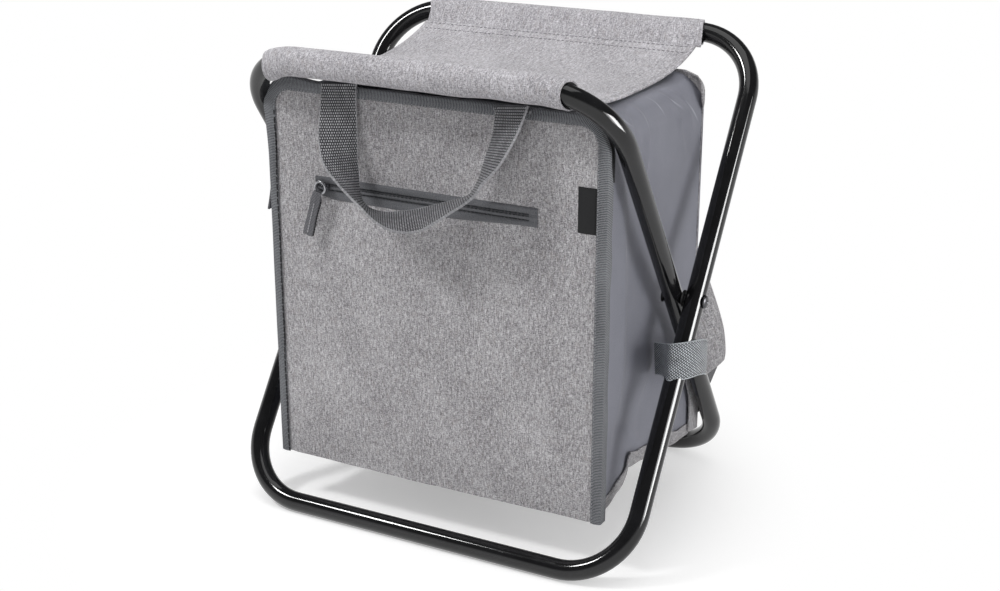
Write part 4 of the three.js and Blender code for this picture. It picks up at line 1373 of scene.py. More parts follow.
    def _slider(self) -> list[Piece]:
        """The small metal slider on the left side of the main zip."""
        low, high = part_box("main_zip_slider")
        bm = bmesh.new()
        middle, size = (low + high) / 2, high - low
        block(bm, middle, size)
        nose = [vert for vert in bm.verts if vert.co.z < middle.z]
        for vert in nose:
            vert.co.y = middle.y + (vert.co.y - middle.y) * 0.62
        rounded(bm, bm.edges, 0.0004, 3)
        piece = settle(dress(piece_from("main_slider_body", bm), ZIP_METAL), 45)
        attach(piece, Body.MAIN_SLIDER.value)
        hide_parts("main_zip_slider")
        return [piece]

    def _pull(self) -> Piece:
        """The long folded pull tape that hangs down the left side."""
        low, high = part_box("main_zip_pull")
        route = [Vector((high.x - 0.0010, 0, high.z)), Vector((high.x - 0.0012, 0.0006, high.z - 0.018)),
                 Vector((high.x - 0.0034, 0.0012, high.z - 0.040)), Vector((low.x + 0.0009, 0.0004, low.z + 0.0005))]
        steps = self.pull_steps
        line = stations(route, steps)

        def place(u: float, v: float) -> Vector:
            """A point on the pull, across and down."""
            at = line[min(round(v * steps), steps)]
            wide = self.pull_width * (0.82 + 0.18 * ease(v, 0.0, 0.12))
            crown = -0.0004 * math.cos(math.pi * (u - 0.5))
            return Vector((at.x + crown, (low.y + high.y) / 2 + at.y + (0.5 - u) * wide, at.z))

        sheet = ClothSheet("main_pull_tape", place, (6, steps), 0.0014, flip=True)
        piece = dress(sheet.build(), PULL_WEBBING)
        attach(piece, Body.FRONT.value)
        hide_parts("main_zip_pull")
        sheet.declare()
        return piece


@dataclass
class Pocket:
    """The zipped pocket: its tape, coil, slider, ring and pull, and the bare label beside it."""

    left: float = -0.104
    right: float = 0.092
    low: float = 0.274
    high: float = 0.289
    sag: float = 0.0030
    seam_inset: float = 0.0016
    stitches: int = 40
    slider_spot: tuple = (-0.0955, 0.2815)
    pull_tilt: float = 17.0
    pull_length: float = 0.0385
    pull_half: float = 0.0041
    pull_fold: float = 0.80

    def build(self) -> list[Piece]:
        """Makes the pocket's parts.

        Returns:
            Every piece of the pocket and the label.
        """
        return [*self._tape(), self._lining(), self._slider(), self._ring(), *self._pull(), *self._label()]

    def _tape(self) -> list[Piece]:
        """The zip tape with two folded edges, its coil chain and its stitching."""
        middle = (self.low + self.high) / 2

        def place(u: float, v: float) -> Vector:
            """A point on the tape, from top to bottom and from left to right."""
            z = self.high + (self._lip(v) - self.high) * u
            x = self.left + (self.right - self.left) * v
            proud = 0.0011 - 0.0006 * hump(z, middle + 0.0016, 0.0012) - 0.0006 * hump(z, middle - 0.0030, 0.0012)
            proud += 0.0003 * hump(z, middle - 0.0007, 0.0010)
            proud -= 0.0008 * (hump(u, 0.0, 0.05) + hump(u, 1.0, 0.05))
            return on_front(x, z, proud)

        sheet = ClothSheet("pocket_zip_band", place, (30, 120), 0.0008)
        tape = dress(sheet.build(), ZIP_TAPE)
        coil = Stitching("pocket_zip_coil", COIL, length=0.0009, pitch=0.0012, width=0.0014)
        for z in (middle + 0.0018, middle + 0.0003, middle - 0.0028):
            coil.row([on_front(self.left + 0.002 + step * 0.0048, z, 0.0009)
                      for step in range(self.stitches)], TO_FRONT)
        chain = coil.build()
        seams = Stitching("stitching_pocket", THREAD)
        above, inset = self.high + 0.0040, self.seam_inset
        for step_z, proud in ((lambda v: self.high - inset, 0.0011), (lambda v: above, 0.0001),
                              (lambda v: self._lip(v) + inset, 0.0011)):
            seams.row([on_front(self.left + 0.001 + step * 0.0049, step_z(step / self.stitches), proud)
                       for step in range(self.stitches)], TO_FRONT)
        for x in (self.left + 0.0012, self.right - 0.0012, self.right + 0.0015):
            seams.row([on_front(x, self.low + step * 0.0015, 0.0011) for step in range(11)], TO_FRONT)
        stitches = seams.build()
        for piece in (tape, chain, stitches):
            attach(piece, Body.FRONT.value)
        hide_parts("pocket_zip_tape")
        sheet.declare()
        return [tape, chain, stitches]

    def _lip(self, v: float) -> float:
        """Height of the tape's lower edge, which sags a little but for its right end."""
        return self.low - self.sag * ease(v, 0.0, 0.10) * (1 - ease(v, 0.60, 0.97))

    def _lining(self) -> Piece:
        """The pocket bag behind the front cloth."""
        low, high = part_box("pocket_lining")

        def place(u: float, v: float) -> Vector:
            """A point on the lining, from left to right and from bottom to top."""
            bag = 0.0002 * math.sin(math.pi * u) * math.sin(math.pi * v)
            return Vector((low.x + (high.x - low.x) * u, low.y - bag, low.z + (high.z - low.z) * v))

        sheet = ClothSheet("pocket_bag", place, (16, 18), 0.0006)
        piece = dress(sheet.build(), LINING_CLOTH)
        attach(piece, Body.FRONT.value)
        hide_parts("pocket_lining")
        sheet.declare()
        return piece

    def _slider(self) -> Piece:
        """The wedge-shaped slider with its bridge."""
        low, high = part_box("pocket_zip_slider")
        middle, size = (low + high) / 2, high - low
        bm = bmesh.new()
        for y in (low.y + 0.0014, high.y - 0.0004):
            block(bm, (middle.x, y, middle.z), (size.x, 0.0011, size.z))
        block(bm, (low.x + 0.0030, middle.y, middle.z), (0.0030, size.y * 0.8, 0.0030))
        for vert in bm.verts:
            share = (vert.co.x - low.x) / size.x
            vert.co.z = middle.z + (vert.co.z - middle.z) * (1.0 - 0.34 * ease(share, 0.3, 1.0))
        rounded(bm, bm.edges, 0.0003, 2)
        half = [Vector((middle.x + 0.0044 * math.cos(turn), low.y + 0.0012 - 0.0017 * math.sin(turn), middle.z))
                for turn in (step / 10 * math.pi for step in range(11))]
        rings = []
        for at, after in zip(half, half[1:] + [half[-1] + (half[-1] - half[-2])]):
            run = (after - at).normalized()
            side = run.cross(UP)
            rings.append([at + (side * math.cos(turn) + UP * 2.0 * math.sin(turn)) * 0.0008
                          for turn in (step / 10 * 2 * math.pi for step in range(10))])
        body = piece_from("pocket_slider_body", bm)
        bridge = piece_from("pocket_slider_bridge", lofted(rings))
        with bpy.context.temp_override(active_object=body, selected_editable_objects=[body, bridge]):
            bpy.ops.object.join()
        piece = settle(dress(body, SLIDER_METAL), 45)
        self._set_out(piece)
        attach(piece, Body.POCKET_SLIDER.value)
        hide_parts("pocket_zip_slider")
        return piece

    def _set_out(self, piece: Piece) -> None:
        """Moves a piece out with the swell of the cloth behind it."""
        piece.data.transform(Matrix.Translation((0, -front_swell(*self.slider_spot), 0)))

    def _ring(self) -> Piece:
        """The round wire ring on the slider's bridge."""
        low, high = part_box("pocket_pull_ring")
        middle = (low + high) / 2
        radius = (high.x - low.x) / 2 - 0.0002
        bm = bmesh.new()
        place = Matrix.Translation(middle + Vector((radius, 0, 0)))
        made = bmesh.ops.create_circle(bm, segments=12, radius=0.0009, matrix=place)["verts"]
        bmesh.ops.spin(bm, geom=made + list(bm.edges), cent=middle, axis=(0, 1, 0), dvec=(0, 0, 0),
                       angle=2 * math.pi, steps=36, use_merge=True, use_duplicate=False)
        piece = dress(piece_from("pocket_ring", bm), ZIP_METAL)
        self._set_out(piece)
        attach(piece, Body.POCKET_PULL.value)
        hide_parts("pocket_pull_ring")
        return piece

    def _pull(self) -> list[Piece]:
        """The pull: webbing folded through the ring, stitched down its middle."""
        tilt = math.radians(self.pull_tilt)
        low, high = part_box("pocket_pull_tab")
        top = Vector((high.x - 0.0036, (low.y + high.y) / 2, high.z + 0.0010))
        down = Vector((-math.sin(tilt), 0, -math.cos(tilt)))
        wide = Vector((math.cos(tilt), 0, -math.sin(tilt)))
        out = -front_swell(*self.slider_spot)

        def place(u: float, v: float) -> Vector:
            """A point on the pull, across and down."""
            half = self.pull_half * (0.80 + 0.20 * ease(v, 0.0, 0.16)) + 0.0002 * math.sin(9 * v)
            across, folded = min(u / self.pull_fold, 1.0), ease(u, self.pull_fold, 1.0)
            thick = 0.0016 + 0.0003 * hump(across, 0.5, 0.1) + 0.0003 * math.sin(math.pi * v)
            thick -= 0.0004 * ease(0.5 - across, 0.4, 0.5) + 0.0024 * folded * ease(v, 0.0, 0.2)
            side = wide * (half * (2 * across - 1) + 0.0006 * folded)
            return top + down * (self.pull_length * v) + side + Vector((0, out - thick, 0))

        sheet = ClothSheet("pocket_pull_tape", place, (20, 24), 0.0008, flip=True)
        piece = dress(sheet.build(), PULL_WEBBING)
        seam = Stitching("stitching_pocket_pull", PULL_THREAD, length=0.0026, pitch=0.0024, width=0.0009)
        seam.follow(lambda v: place(0.42, 0.26 + 0.71 * v), 12, TO_FRONT)
        # Painted shade: a dark bead row down the folded edge stands in for the shade beside the pull's second layer.
        fold = Stitching("pocket_pull_painted_shade_edge", SHADE_CORD, length=0.0030, pitch=0.0024, width=0.0016)
        fold.follow(lambda v: place(0.93, 0.18 + 0.80 * v), 12, Vector((1, -1, 0)))
        sewn = [seam.build(), fold.build()]
        for made in (piece, *sewn):
            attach(made, Body.POCKET_PULL.value)
        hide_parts("pocket_pull_tab")
        sheet.declare()
        return [piece, *sewn]

    def _label(self) -> list[Piece]:
        """The bare woven label, sewn on round its edge."""
        low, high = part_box("side_label")

        def place(u: float, v: float) -> Vector:
            """A point on the label, from left to right and from bottom to top."""
            edge = max(abs(u - 0.5), abs(v - 0.5))
            x = low.x + (high.x - low.x) * u
            z = low.z + (high.z - low.z) * v
            return on_front(x, z, 0.0009 - 0.0005 * ease(edge, 0.40, 0.5) + 0.00015 * ruffle(x, z, 0.1, 0.01))

        sheet = ClothSheet("bare_side_label", place, (16, 30), 0.0005)
        piece = dress(sheet.build(), LABEL_WEAVE)
        seam = Stitching("stitching_label", LABEL_WEAVE, length=0.0013, pitch=0.0019, width=0.0004)
        corners = [(0.07, 0.03), (0.93, 0.03), (0.93, 0.97), (0.07, 0.97), (0.07, 0.03)]
        for (x0, z0), (x1, z1) in zip(corners, corners[1:]):
            seam.follow(lambda way: place(x0 + (x1 - x0) * way, z0 + (z1 - z0) * way), 8, TO_FRONT)
        stitches = seam.build()
        for made in (piece, stitches):
            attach(made, Body.FRONT.value)
        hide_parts("side_label")
        sheet.declare()
        return [piece, stitches]


# ---- handle and leg loops


@dataclass
class CarryHandle:
    """The webbing handle: flat at its two roots, standing on edge at the bottom of its loop.

    edges gives the edge that lies near the cloth and the free edge, in millimetres, from the
    left root round the loop to the right one.
    """

    edges: tuple = (
        ((-61.7, -114.7, 367), (-91.2, -118.0, 365)), ((-61.5, -115.5, 347), (-90.4, -122.6, 345)),
        ((-60.5, -116.5, 325.4), (-84.6, -134.3, 326)), ((-59.7, -118, 308.3), (-73.9, -144.2, 310)),
        ((-58.2, -119, 292.8), (-59.6, -148.3, 298.4)), ((-56.6, -120, 281.2), (-48.3, -147.9, 288.6)),
        ((-52.8, -120.5, 275.4), (-39.4, -146.8, 280.9)), ((-46.2, -121, 272.1), (-30.2, -146.3, 273.4)),
        ((-34.1, -121.5, 271.5), (-17.9, -146.4, 267.7)), ((-20.3, -122, 274.1), (-4.1, -146, 266.1)),
        ((-7.2, -121.5, 277.2), (9.9, -144.7, 269)), ((7.5, -121, 282.3), (23.6, -145.8, 277.5)),
        ((21.2, -120.5, 287.2), (37.9, -145.4, 287.8)), ((32.1, -120, 291.3), (47.9, -145.2, 294.9)),
        ((39.5, -119.5, 295.6), (56.1, -143.5, 302.4)), ((44.8, -119, 304.5), (61.6, -142.9, 311.2)),
        ((48.1, -118, 314.1), (68.2, -139.8, 318.8)), ((50.8, -117.5, 323.4), (74.4, -135.4, 328.2)),
        ((56.3, -116.5, 340.2), (82.5, -130.1, 345.7)), ((57.8, -115.8, 352.5), (85.8, -125.7, 356.9)),
        ((58.9, -115.2, 363.1), (87.9, -121.2, 367.4)),
    )
    width: float = 0.030
    steps: int = 200

    def build(self) -> list[Piece]:
        """Makes the strap and its two sewn folds.

        Returns:
            Every piece of the handle.
        """
        inner, outer = evened(stations([millimetres(*pair[0]) for pair in self.edges], 4 * self.steps),
                              stations([millimetres(*pair[1]) for pair in self.edges], 4 * self.steps), self.steps)

        def place(u: float, v: float) -> Vector:
            """A point across and along the strap, slightly cupped."""
            step = min(round(v * self.steps), self.steps)
            a, b = inner[step], outer[step]
            wide = (b - a).normalized() * self.width
            middle = (a + b) / 2
            run = inner[min(step + 1, self.steps)] - inner[max(step - 1, 0)]
            cup = wide.cross(run).normalized() * 0.0007 * math.cos(math.pi * (u - 0.5))
            return middle + wide * (u - 0.5) + cup

        sheet = ClothSheet("carry_strap", place, (16, self.steps), 0.0017)
        strap = dress(sheet.build(), HANDLE_WEBBING)
        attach(strap, Body.HANDLE.value)
        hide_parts("carry_handle")
        sheet.declare()
        return [strap, *(self._root(side) for side in Side)]

    def _root(self, side: Side) -> Piece:
        """The rolled end of the strap, sewn behind the top binding."""
        low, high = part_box(side.named("handle_fold"))
        middle = (low + high) / 2

        def place(u: float, v: float) -> Vector:
            """A point round the fold and along it."""
            turn = math.radians(-60 + 300 * v)
            x = low.x + (high.x - low.x) * u
            return Vector((x, middle.y + 0.0013 * math.cos(turn), middle.z + 0.0015 * math.sin(turn)))

        sheet = ClothSheet(side.named("handle_root"), place, (20, 12), 0.0008, flip=True)
        piece = dress(sheet.build(), HANDLE_WEBBING)
        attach(piece, Body.FLAP.value)
        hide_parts(side.named("handle_fold"))
        sheet.declare()
        return piece


@dataclass
class LegLoops:
    """Pale webbing, sewn to each side of the bag, that wraps round both legs there."""

    width: float = 0.030
    wall: float = 0.0015
    steps: int = 90
    route: tuple = (
        (146.3, -7, 143.5, -8), (156, -18, 148.5, -6), (165, -33, 154.5, 0), (172.5, -43.5, 158, 8),
        (180.5, -41, 159, 10), (185.8, -31, 158, 8), (185.4, -10, 152.5, 2), (179.5, 20, 141.5, 0), (171.5, 46, 130, 0),
        (167.5, 56, 126, 0), (161, 63, 124, 0), (152, 61, 123, 0), (146.3, 55, 123, 0),
    )

    def build(self) -> list[Piece]:
        """Makes the loop on both sides.

        Returns:
            The two loops and their stitches.
        """
        return [piece for side in Side for piece in self._loop(side)]

    def _loop(self, side: Side) -> list[Piece]:
        """One loop, from the front seam round both legs to the rear seam.

        Each place on its route is x, y and z in millimetres, and how far the strap leans there, in degrees.
        """
        steps = self.steps
        middles = stations([millimetres(*at[:3]) for at in self.route], steps)
        leans = [math.radians(at[3]) for at in self.route]
        across = stations([Vector((0, math.sin(lean), math.cos(lean))) for lean in leans], steps)

        def place(u: float, v: float) -> Vector:
            """A point across and along the strap."""
            step = min(round(v * steps), steps)
            way = across[step].normalized()
            pinch = 1.0 - 0.06 * hump(v, 0.12, 0.1) + 0.012 * ruffle(v * 0.3, u * 0.01, side.value, 0.05)
            point = middles[step] + way * self.width * pinch * (u - 0.5)
            belly = 0.0008 * hump(v, 0.55, 0.12) * math.cos(math.pi * (u - 0.5))
            return Vector((side.value * (point.x + belly), point.y, point.z))

        sheet = ClothSheet(side.named("leg_strap"), place, (16, steps), self.wall, flip=side is Side.RIGHT)
        piece = dress(sheet.build(), LOOP_WEBBING)
        seam = Stitching(side.named("leg_strap_stitches"), THREAD)
        sign = Vector((side.value, 0, 0))
        for u in (0.06, 0.94):
            seam.follow(lambda v: place(u, 0.36 + 0.3 * v) + sign * 0.0001, 14, sign)
        stitches = seam.build()
        for made in (piece, stitches):
            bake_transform(made)
        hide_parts(side.named("leg_loop"))
        sheet.declare()
        return [piece, stitches]


# ---- sides, back and base


@dataclass
class BagShell:
    """The slate cloth over the sides and top, the base under them, and the hollows and folds in them."""

    half: float = 0.1456
    top: float = 0.3596
    near: float = -0.1092
    far: float = 0.0832
    keep: float = 0.0985
    wall: float = 0.0011
    base_half: float = 0.1452
    base_bend: float = 0.010
    base_low: float = 0.0410

    def build(self) -> list[Piece]:
        """Makes the side cloth with its seams, and the base.

        Returns:
            Every piece of the shell.
        """
        sheet = ClothSheet("side_and_top_cloth", self._wrap, (300, 90), self.wall)
        shell = dress(sheet.build(), SLATE_CLOTH)
        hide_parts("left_gusset", "right_gusset", "top_cover")
        base_sheet = ClothSheet("base_cloth", self._base, (90, 48), self.wall, flip=True)
        base = dress(base_sheet.build(), SHADED_BACK_CLOTH)
        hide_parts("bottom_panel")
        for piece in (shell, base):
            self.crumple(piece)
        sheet.declare()
        base_sheet.declare()
        return [shell, base]

    def crumple(self, piece: Piece) -> None:
        """The piece rides with the back body and gets a mesh of its own."""
        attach(piece, Body.BACK.value)
        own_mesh(piece)

    def _foot(self, y: float) -> float:
        """Height of the side cloth's lower edge along the bag."""
        return between(((-0.110, 0.0552), (-0.084, 0.0534), (-0.060, 0.0600), (-0.045, 0.0700), (-0.027, 0.0700),
                        (0.0335, 0.0580), (0.067, 0.0540), (0.086, 0.0520)), y) + 0.0008 * ruffle(y, 0.3, 0.1, 0.03)

    def _wrap(self, u: float, v: float) -> Vector:
        """A point on the sheet: round the arch from the left foot to the right one, and from front to rear."""
        y = self.near + (self.far - self.near) * v
        line = ArchLine(self.half, self._foot(y), self.top, SIZES.arch_bend)
        x, z, nx, nz = line.at(u * line.length)
        depth = self.hollow(1 if x > 0 else -1, y, z) * ease(abs(nx), 0.0, 0.9) + self._roof(x, y) * ease(nz, 0.5, 1.0)
        return Vector((x - nx * depth, y, z - nz * depth))

    def _roof(self, x: float, y: float) -> float:
        """How far the top cloth sinks under the seat."""
        return (0.0040 + 0.0006 * ruffle(x, y, 0.1, 0.04)) * (1 - ease(abs(x), 0.119, 0.142)) \
            * ease(y, -0.109, -0.085) * (1 - ease(y, 0.060, 0.082))

    def hollow(self, side: int, y: float, z: float) -> float:
        """How far a side sinks in between its seams, with the folds that the leg loop pulls."""
        share = (y - self.near) / (self.far - self.near)
        seams = math.sin(math.pi * share) ** 0.65
        rise = ease(z, 0.040, 0.105) * (1 - 0.75 * ease(z, 0.300, 0.356))
        depth = (0.0052 + 0.0018 * ruffle(y, z, side * 0.3, 0.085)) * seams * (0.35 + 0.65 * rise)
        crease = y + 0.026 + (z - 0.320) * 0.10
        depth -= 0.0040 * hump(crease, 0.0, 0.0042) * hump(z, 0.318, 0.034)
        depth += 0.0026 * hump(crease, 0.010, 0.009) * hump(z, 0.312, 0.045)
        for start, slope, weight in ((0.030, 0.55, 1.0), (0.048, 0.75, 0.8), (-0.050, -0.35, 0.6)):
            ridge = y - start + (z - 0.345) * slope
            weight *= ease(y, -0.100, -0.075) * (1 - ease(y, 0.052, 0.074))
            depth -= 0.0034 * weight * hump(ridge, 0.0, 0.0034) * hump(z, 0.335, 0.020)
            depth += 0.0024 * weight * hump(ridge, 0.0065, 0.006) * hump(z, 0.330, 0.026)
        sag = y + 0.083 - 0.030 * ease(z, 0.060, 0.200) + 0.010 * ease(z, 0.200, 0.300)
        depth += 0.0046 * hump(sag, 0.020, 0.024) * ease(z, 0.058, 0.110) * (1 - ease(z, 0.250, 0.330))
        depth -= 0.0016 * hump(sag, -0.004, 0.010) * ease(z, 0.070, 0.140) * (1 - ease(z, 0.250, 0.330))
        loop = math.hypot((y + 0.020) / 0.060, (z - 0.150) / 0.030)
        depth -= 0.0036 * math.exp(-loop ** 2)
        pull = y - 0.012 - (z - 0.150) * 0.62
        depth += 0.0020 * hump(pull, 0.0, 0.009) * hump(z, 0.118, 0.030)
        low = y + 0.045 + (z - 0.095) * 0.85
        depth -= 0.0022 * hump(low, 0.0, 0.010) * hump(z, 0.092, 0.030)
        depth += 0.0012 * ruffle(y * 1.4, z * 0.8, 4.0 + side, 0.040) * seams
        return max(depth, -0.0016)

    def _base(self, u: float, v: float) -> Vector:
        """A point on the base: from the left side to the right, turned up at its rims."""
        y = -0.1085 + (0.0815 + 0.1085) * v
        flat, bend = self.base_half - self.base_bend, self.base_bend
        way = (2 * u - 1) * (flat + 2 * bend)
        over = max(abs(way) - flat, 0.0)
        turn = min(over / bend, 1.0)
        x = math.copysign(min(abs(way), flat) + 0.0097 * math.sin(turn * math.pi / 2), way)
        rim = bend * (1 - math.cos(turn * math.pi / 2)) + max(over - bend, 0.0) * 0.6
        sag = 0.0042 * math.cos(math.pi / 2 * min(abs(way) / flat, 1.0)) * math.sin(math.pi * v) ** 0.6
        wave = 0.0016 * ruffle(way, y, 0.7, 0.05) + 0.0024 * ease(over, 0, 0.01) * ruffle(way * 0.2, y, 1.7, 0.028)
        spread = math.copysign(0.0012, way) * ease(abs(way), 0.10, flat)
        return Vector((x + spread, y, self.base_low + rim - sag * 0.4 + wave * 0.5 + self.lift(x, y)))

    def lift(self, x: float, y: float) -> float:
        """How far the base is pulled up at that place, near its sides."""
        height = between(((-0.110, 0.000), (-0.089, 0.002), (-0.0685, 0.007), (-0.060, 0.0085), (-0.050, 0.0205),
                          (-0.034, 0.0165), (0.000, 0.011), (0.031, 0.005), (0.056, -0.001), (0.086, -0.004)), y)
        return height * ease(abs(x), 0.10, 0.1352)


@dataclass
class BagBack:
    """The melange back panel, wrapped round the side seams, with the shoulder straps on it."""

    half: float = 0.1482
    top: float = 0.3612
    low: float = 0.0430
    corner: float = 0.016
    strap_steps: int = 60
    strap_sides: int = 28
    strap_girth: float = 0.112
    tail_steps: int = 24

    def build(self) -> list[Piece]:
        """Makes the panel and the straps.

        Returns:
            Every piece of the back.
        """
        sheet = ClothSheet("back_cloth", self._panel, (120, 90), 0.0011, flip=True,
                           pattern=lambda at: (at.x + (at.y if abs(at.x) > 0.14 else 0.0), at.z))
        panel = dress(sheet.build(), SHADED_BACK_CLOTH)
        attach(panel, Body.BACK.value)
        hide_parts("back_panel")
        seams = Stitching("stitching_back", THREAD)
        rows = [(1, x, 0.050, 0, 0.0098, 30) for x in (-0.1395, 0.1395)] + [(1, -0.13, 0.352, 0.013, 0, 20)]
        rows += [(side, 0.034, z, 0.0112, 0, 5) for z in (0.328, 0.318) for side in (-1, 1)]
        for side, x, z, step_x, step_z, steps in rows:
            spots = [(x + step * step_x, z + step * step_z) for step in range(steps + 1)]
            seams.row([Vector((side * at, self._face(at, up) + 0.0001, up)) for at, up in spots], TO_REAR)
        stitches = seams.build()
        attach(stitches, Body.BACK.value)
        sheet.declare()
        straps = [piece for side in Side for piece in self._strap(side)]
        return [panel, stitches, *straps]

    def _face(self, x: float, z: float) -> float:
        """Y of the back's outer face: a soft swell with shallow waves."""
        across = math.cos(math.pi / 2 * min(abs(x) / 0.147, 1.0)) ** 0.6
        rise = ease(z, 0.043, 0.090) * (1 - ease(z, 0.320, 0.361))
        corner = 0.0165 * ease(abs(x), 0.105, 0.140) * (1 - ease(z, 0.070, 0.115))
        return SIZES.back - 0.0004 + corner + across * (0.0030 * rise + 0.0008 * ruffle(x, z, 0.9, 0.07) * rise)

    def _return(self, z: float) -> float:
        """How far the cloth comes forward on each side: a seam above, a patch at the foot."""
        return 0.0020 + 0.0190 * (1 - ease(z, 0.095, 0.125)) + 0.0040 * ease(z, 0.330, 0.342)

    def _panel(self, u: float, v: float) -> Vector:
        """A point on the cloth: from the left side round the back to the right, and up."""
        z = self.low + (self.top - self.low) * v
        tucked = ease(z, 0.104, 0.130) * (1 - ease(z, 0.326, 0.338))
        half = self.half - 0.0030 * tucked
        over = z - (self.top - self.corner)
        if over > 0:
            half -= self.corner - math.sqrt(max(self.corner ** 2 - over ** 2, 0.0))
        fold, bend = 0.10, 0.006 - 0.0046 * tucked
        side = -1 if u < 0.5 else 1
        share = min(u, 1 - u)
        if share >= fold:
            x = half * side * (1 - (share - fold) / (0.5 - fold))
            rim = half - abs(x)
            y = self._face(x, z)
            if rim < bend:
                y -= bend - math.sqrt(max(bend ** 2 - (bend - rim) ** 2, 0.0))
            return Vector((x, y, z))
        forward = (self._return(z) * (1 - ease(z, self.top - self.corner, self.top))) * (1 - share / fold) + bend
        x = side * (half + 0.0002 * math.sin(math.pi * share / fold))
        out = 1 - share / fold
        wave = 0.0008 * ruffle(0.1 * side, forward, z, 0.02) * out
        return Vector((x + side * wave, self._face(x, z) - forward, z + 0.004 * out * (1 - ease(z, 0.05, 0.09))))

    def _strap(self, side: Side) -> list[Piece]:
        """One padded shoulder strap and its webbing tail."""
        shares = ((0.40, 0.0, 0.0, 0.0), (0.42, 0.04, 0.08, 0.0), (0.48, 0.26, 0.21, 0.06), (0.64, 0.64, 0.44, 0.31),
                  (0.83, 0.90, 0.68, 0.66), (0.975, 1.02, 0.87, 0.87), (1.020, 1.04, 1.0, 0.96))
        near, out, top, low = 0.0895, 0.0280, 0.336, 0.090
        steps, sides = self.strap_steps, self.strap_sides
        middles = stations([Vector((x * SIZES.bag_half, near + bow * out, top - drop * (top - low)))
                            for x, bow, drop, _ in shares], steps)
        turns = stations([Vector((turn * math.pi / 2, 0, 0)) for _, _, _, turn in shares], steps)
        rings = []
        for step, (at, turn) in enumerate(zip(middles, turns)):
            share = step / steps
            run = (middles[min(step + 1, steps)] - middles[max(step - 1, 0)]).normalized()
            wide = Vector((math.cos(turn.x), math.sin(turn.x), 0))
            face = wide.cross(run).normalized()
            half = 0.0255 - 0.0012 * ease(share, 0.95, 1.0)
            thick = 0.0042 * (0.45 + 0.55 * ease(share, 0.0, 0.05)) * (0.5 + 0.5 * (1 - ease(share, 0.93, 1.0)))
            thick *= 1 + 0.05 * ruffle(share * 0.3, side.value, 0.4, 0.03)
            ring = []
            for place in range(sides):
                angle = place / sides * 2 * math.pi
                c, s = math.cos(angle), math.sin(angle)
                u = math.copysign(abs(c) ** 0.55, c)
                w = math.copysign(abs(s) ** 0.8, s)
                w *= (1 - 0.42 * hump(abs(u), 0.80, 0.055)) * (1 - 0.25 * hump(abs(u), 1.0, 0.05))
                spot = at + wide * half * u + face * thick * w
                ring.append(Vector((side.value * spot.x, spot.y, spot.z)))
            rings.append(ring)
        length = sum((b - a).length for a, b in zip(middles, middles[1:]))
        strap = piece_from(side.named("padded_strap"), lofted(rings), recalculate=False)
        map_along(strap, sides, self.strap_girth, length)
        smooth = strap.modifiers.new("smooth", "SUBSURF")
        smooth.levels = smooth.render_levels = 1
        strap = settle(dress(strap, SHADED_BACK_CLOTH), 60)
        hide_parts(side.named("shoulder_strap"))
        tail = self._tail(side, middles[-1])
        for piece in (strap, tail):
            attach(piece, Body.BACK.value)
            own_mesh(piece)
        return [strap, tail]

    def _tail(self, side: Side, seam: Vector) -> Piece:
        """The flat webbing from the strap's end to the foot of the bag."""
        steps, start = self.tail_steps, Vector((seam.x - 0.0008, seam.y, seam.z + 0.002))
        line = stations([start, Vector((0.1480, 0.107, 0.072)), Vector((0.1464, 0.0985, 0.0560))], steps)

        def place(u: float, v: float) -> Vector:
            """A point across and down the tail."""
            at = line[min(round(v * steps), steps)]
            wide = 0.047 + (0.014 - 0.047) * min(v / 0.8, 1.0)
            fold = 0.0012 * math.sin(3 * math.pi * u) * ease(v, 0.1, 0.8)
            return Vector((side.value * (at.x - fold), at.y + (u - 0.5) * wide, at.z))

        sheet = ClothSheet(side.named("strap_webbing"), place, (12, steps), 0.0016, flip=side is Side.RIGHT)
        piece = dress(sheet.build(), STRAP_TAIL_WEBBING)
        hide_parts(side.named("strap_tail"))
        sheet.declare()
        return piece


# ---- inside of the bag


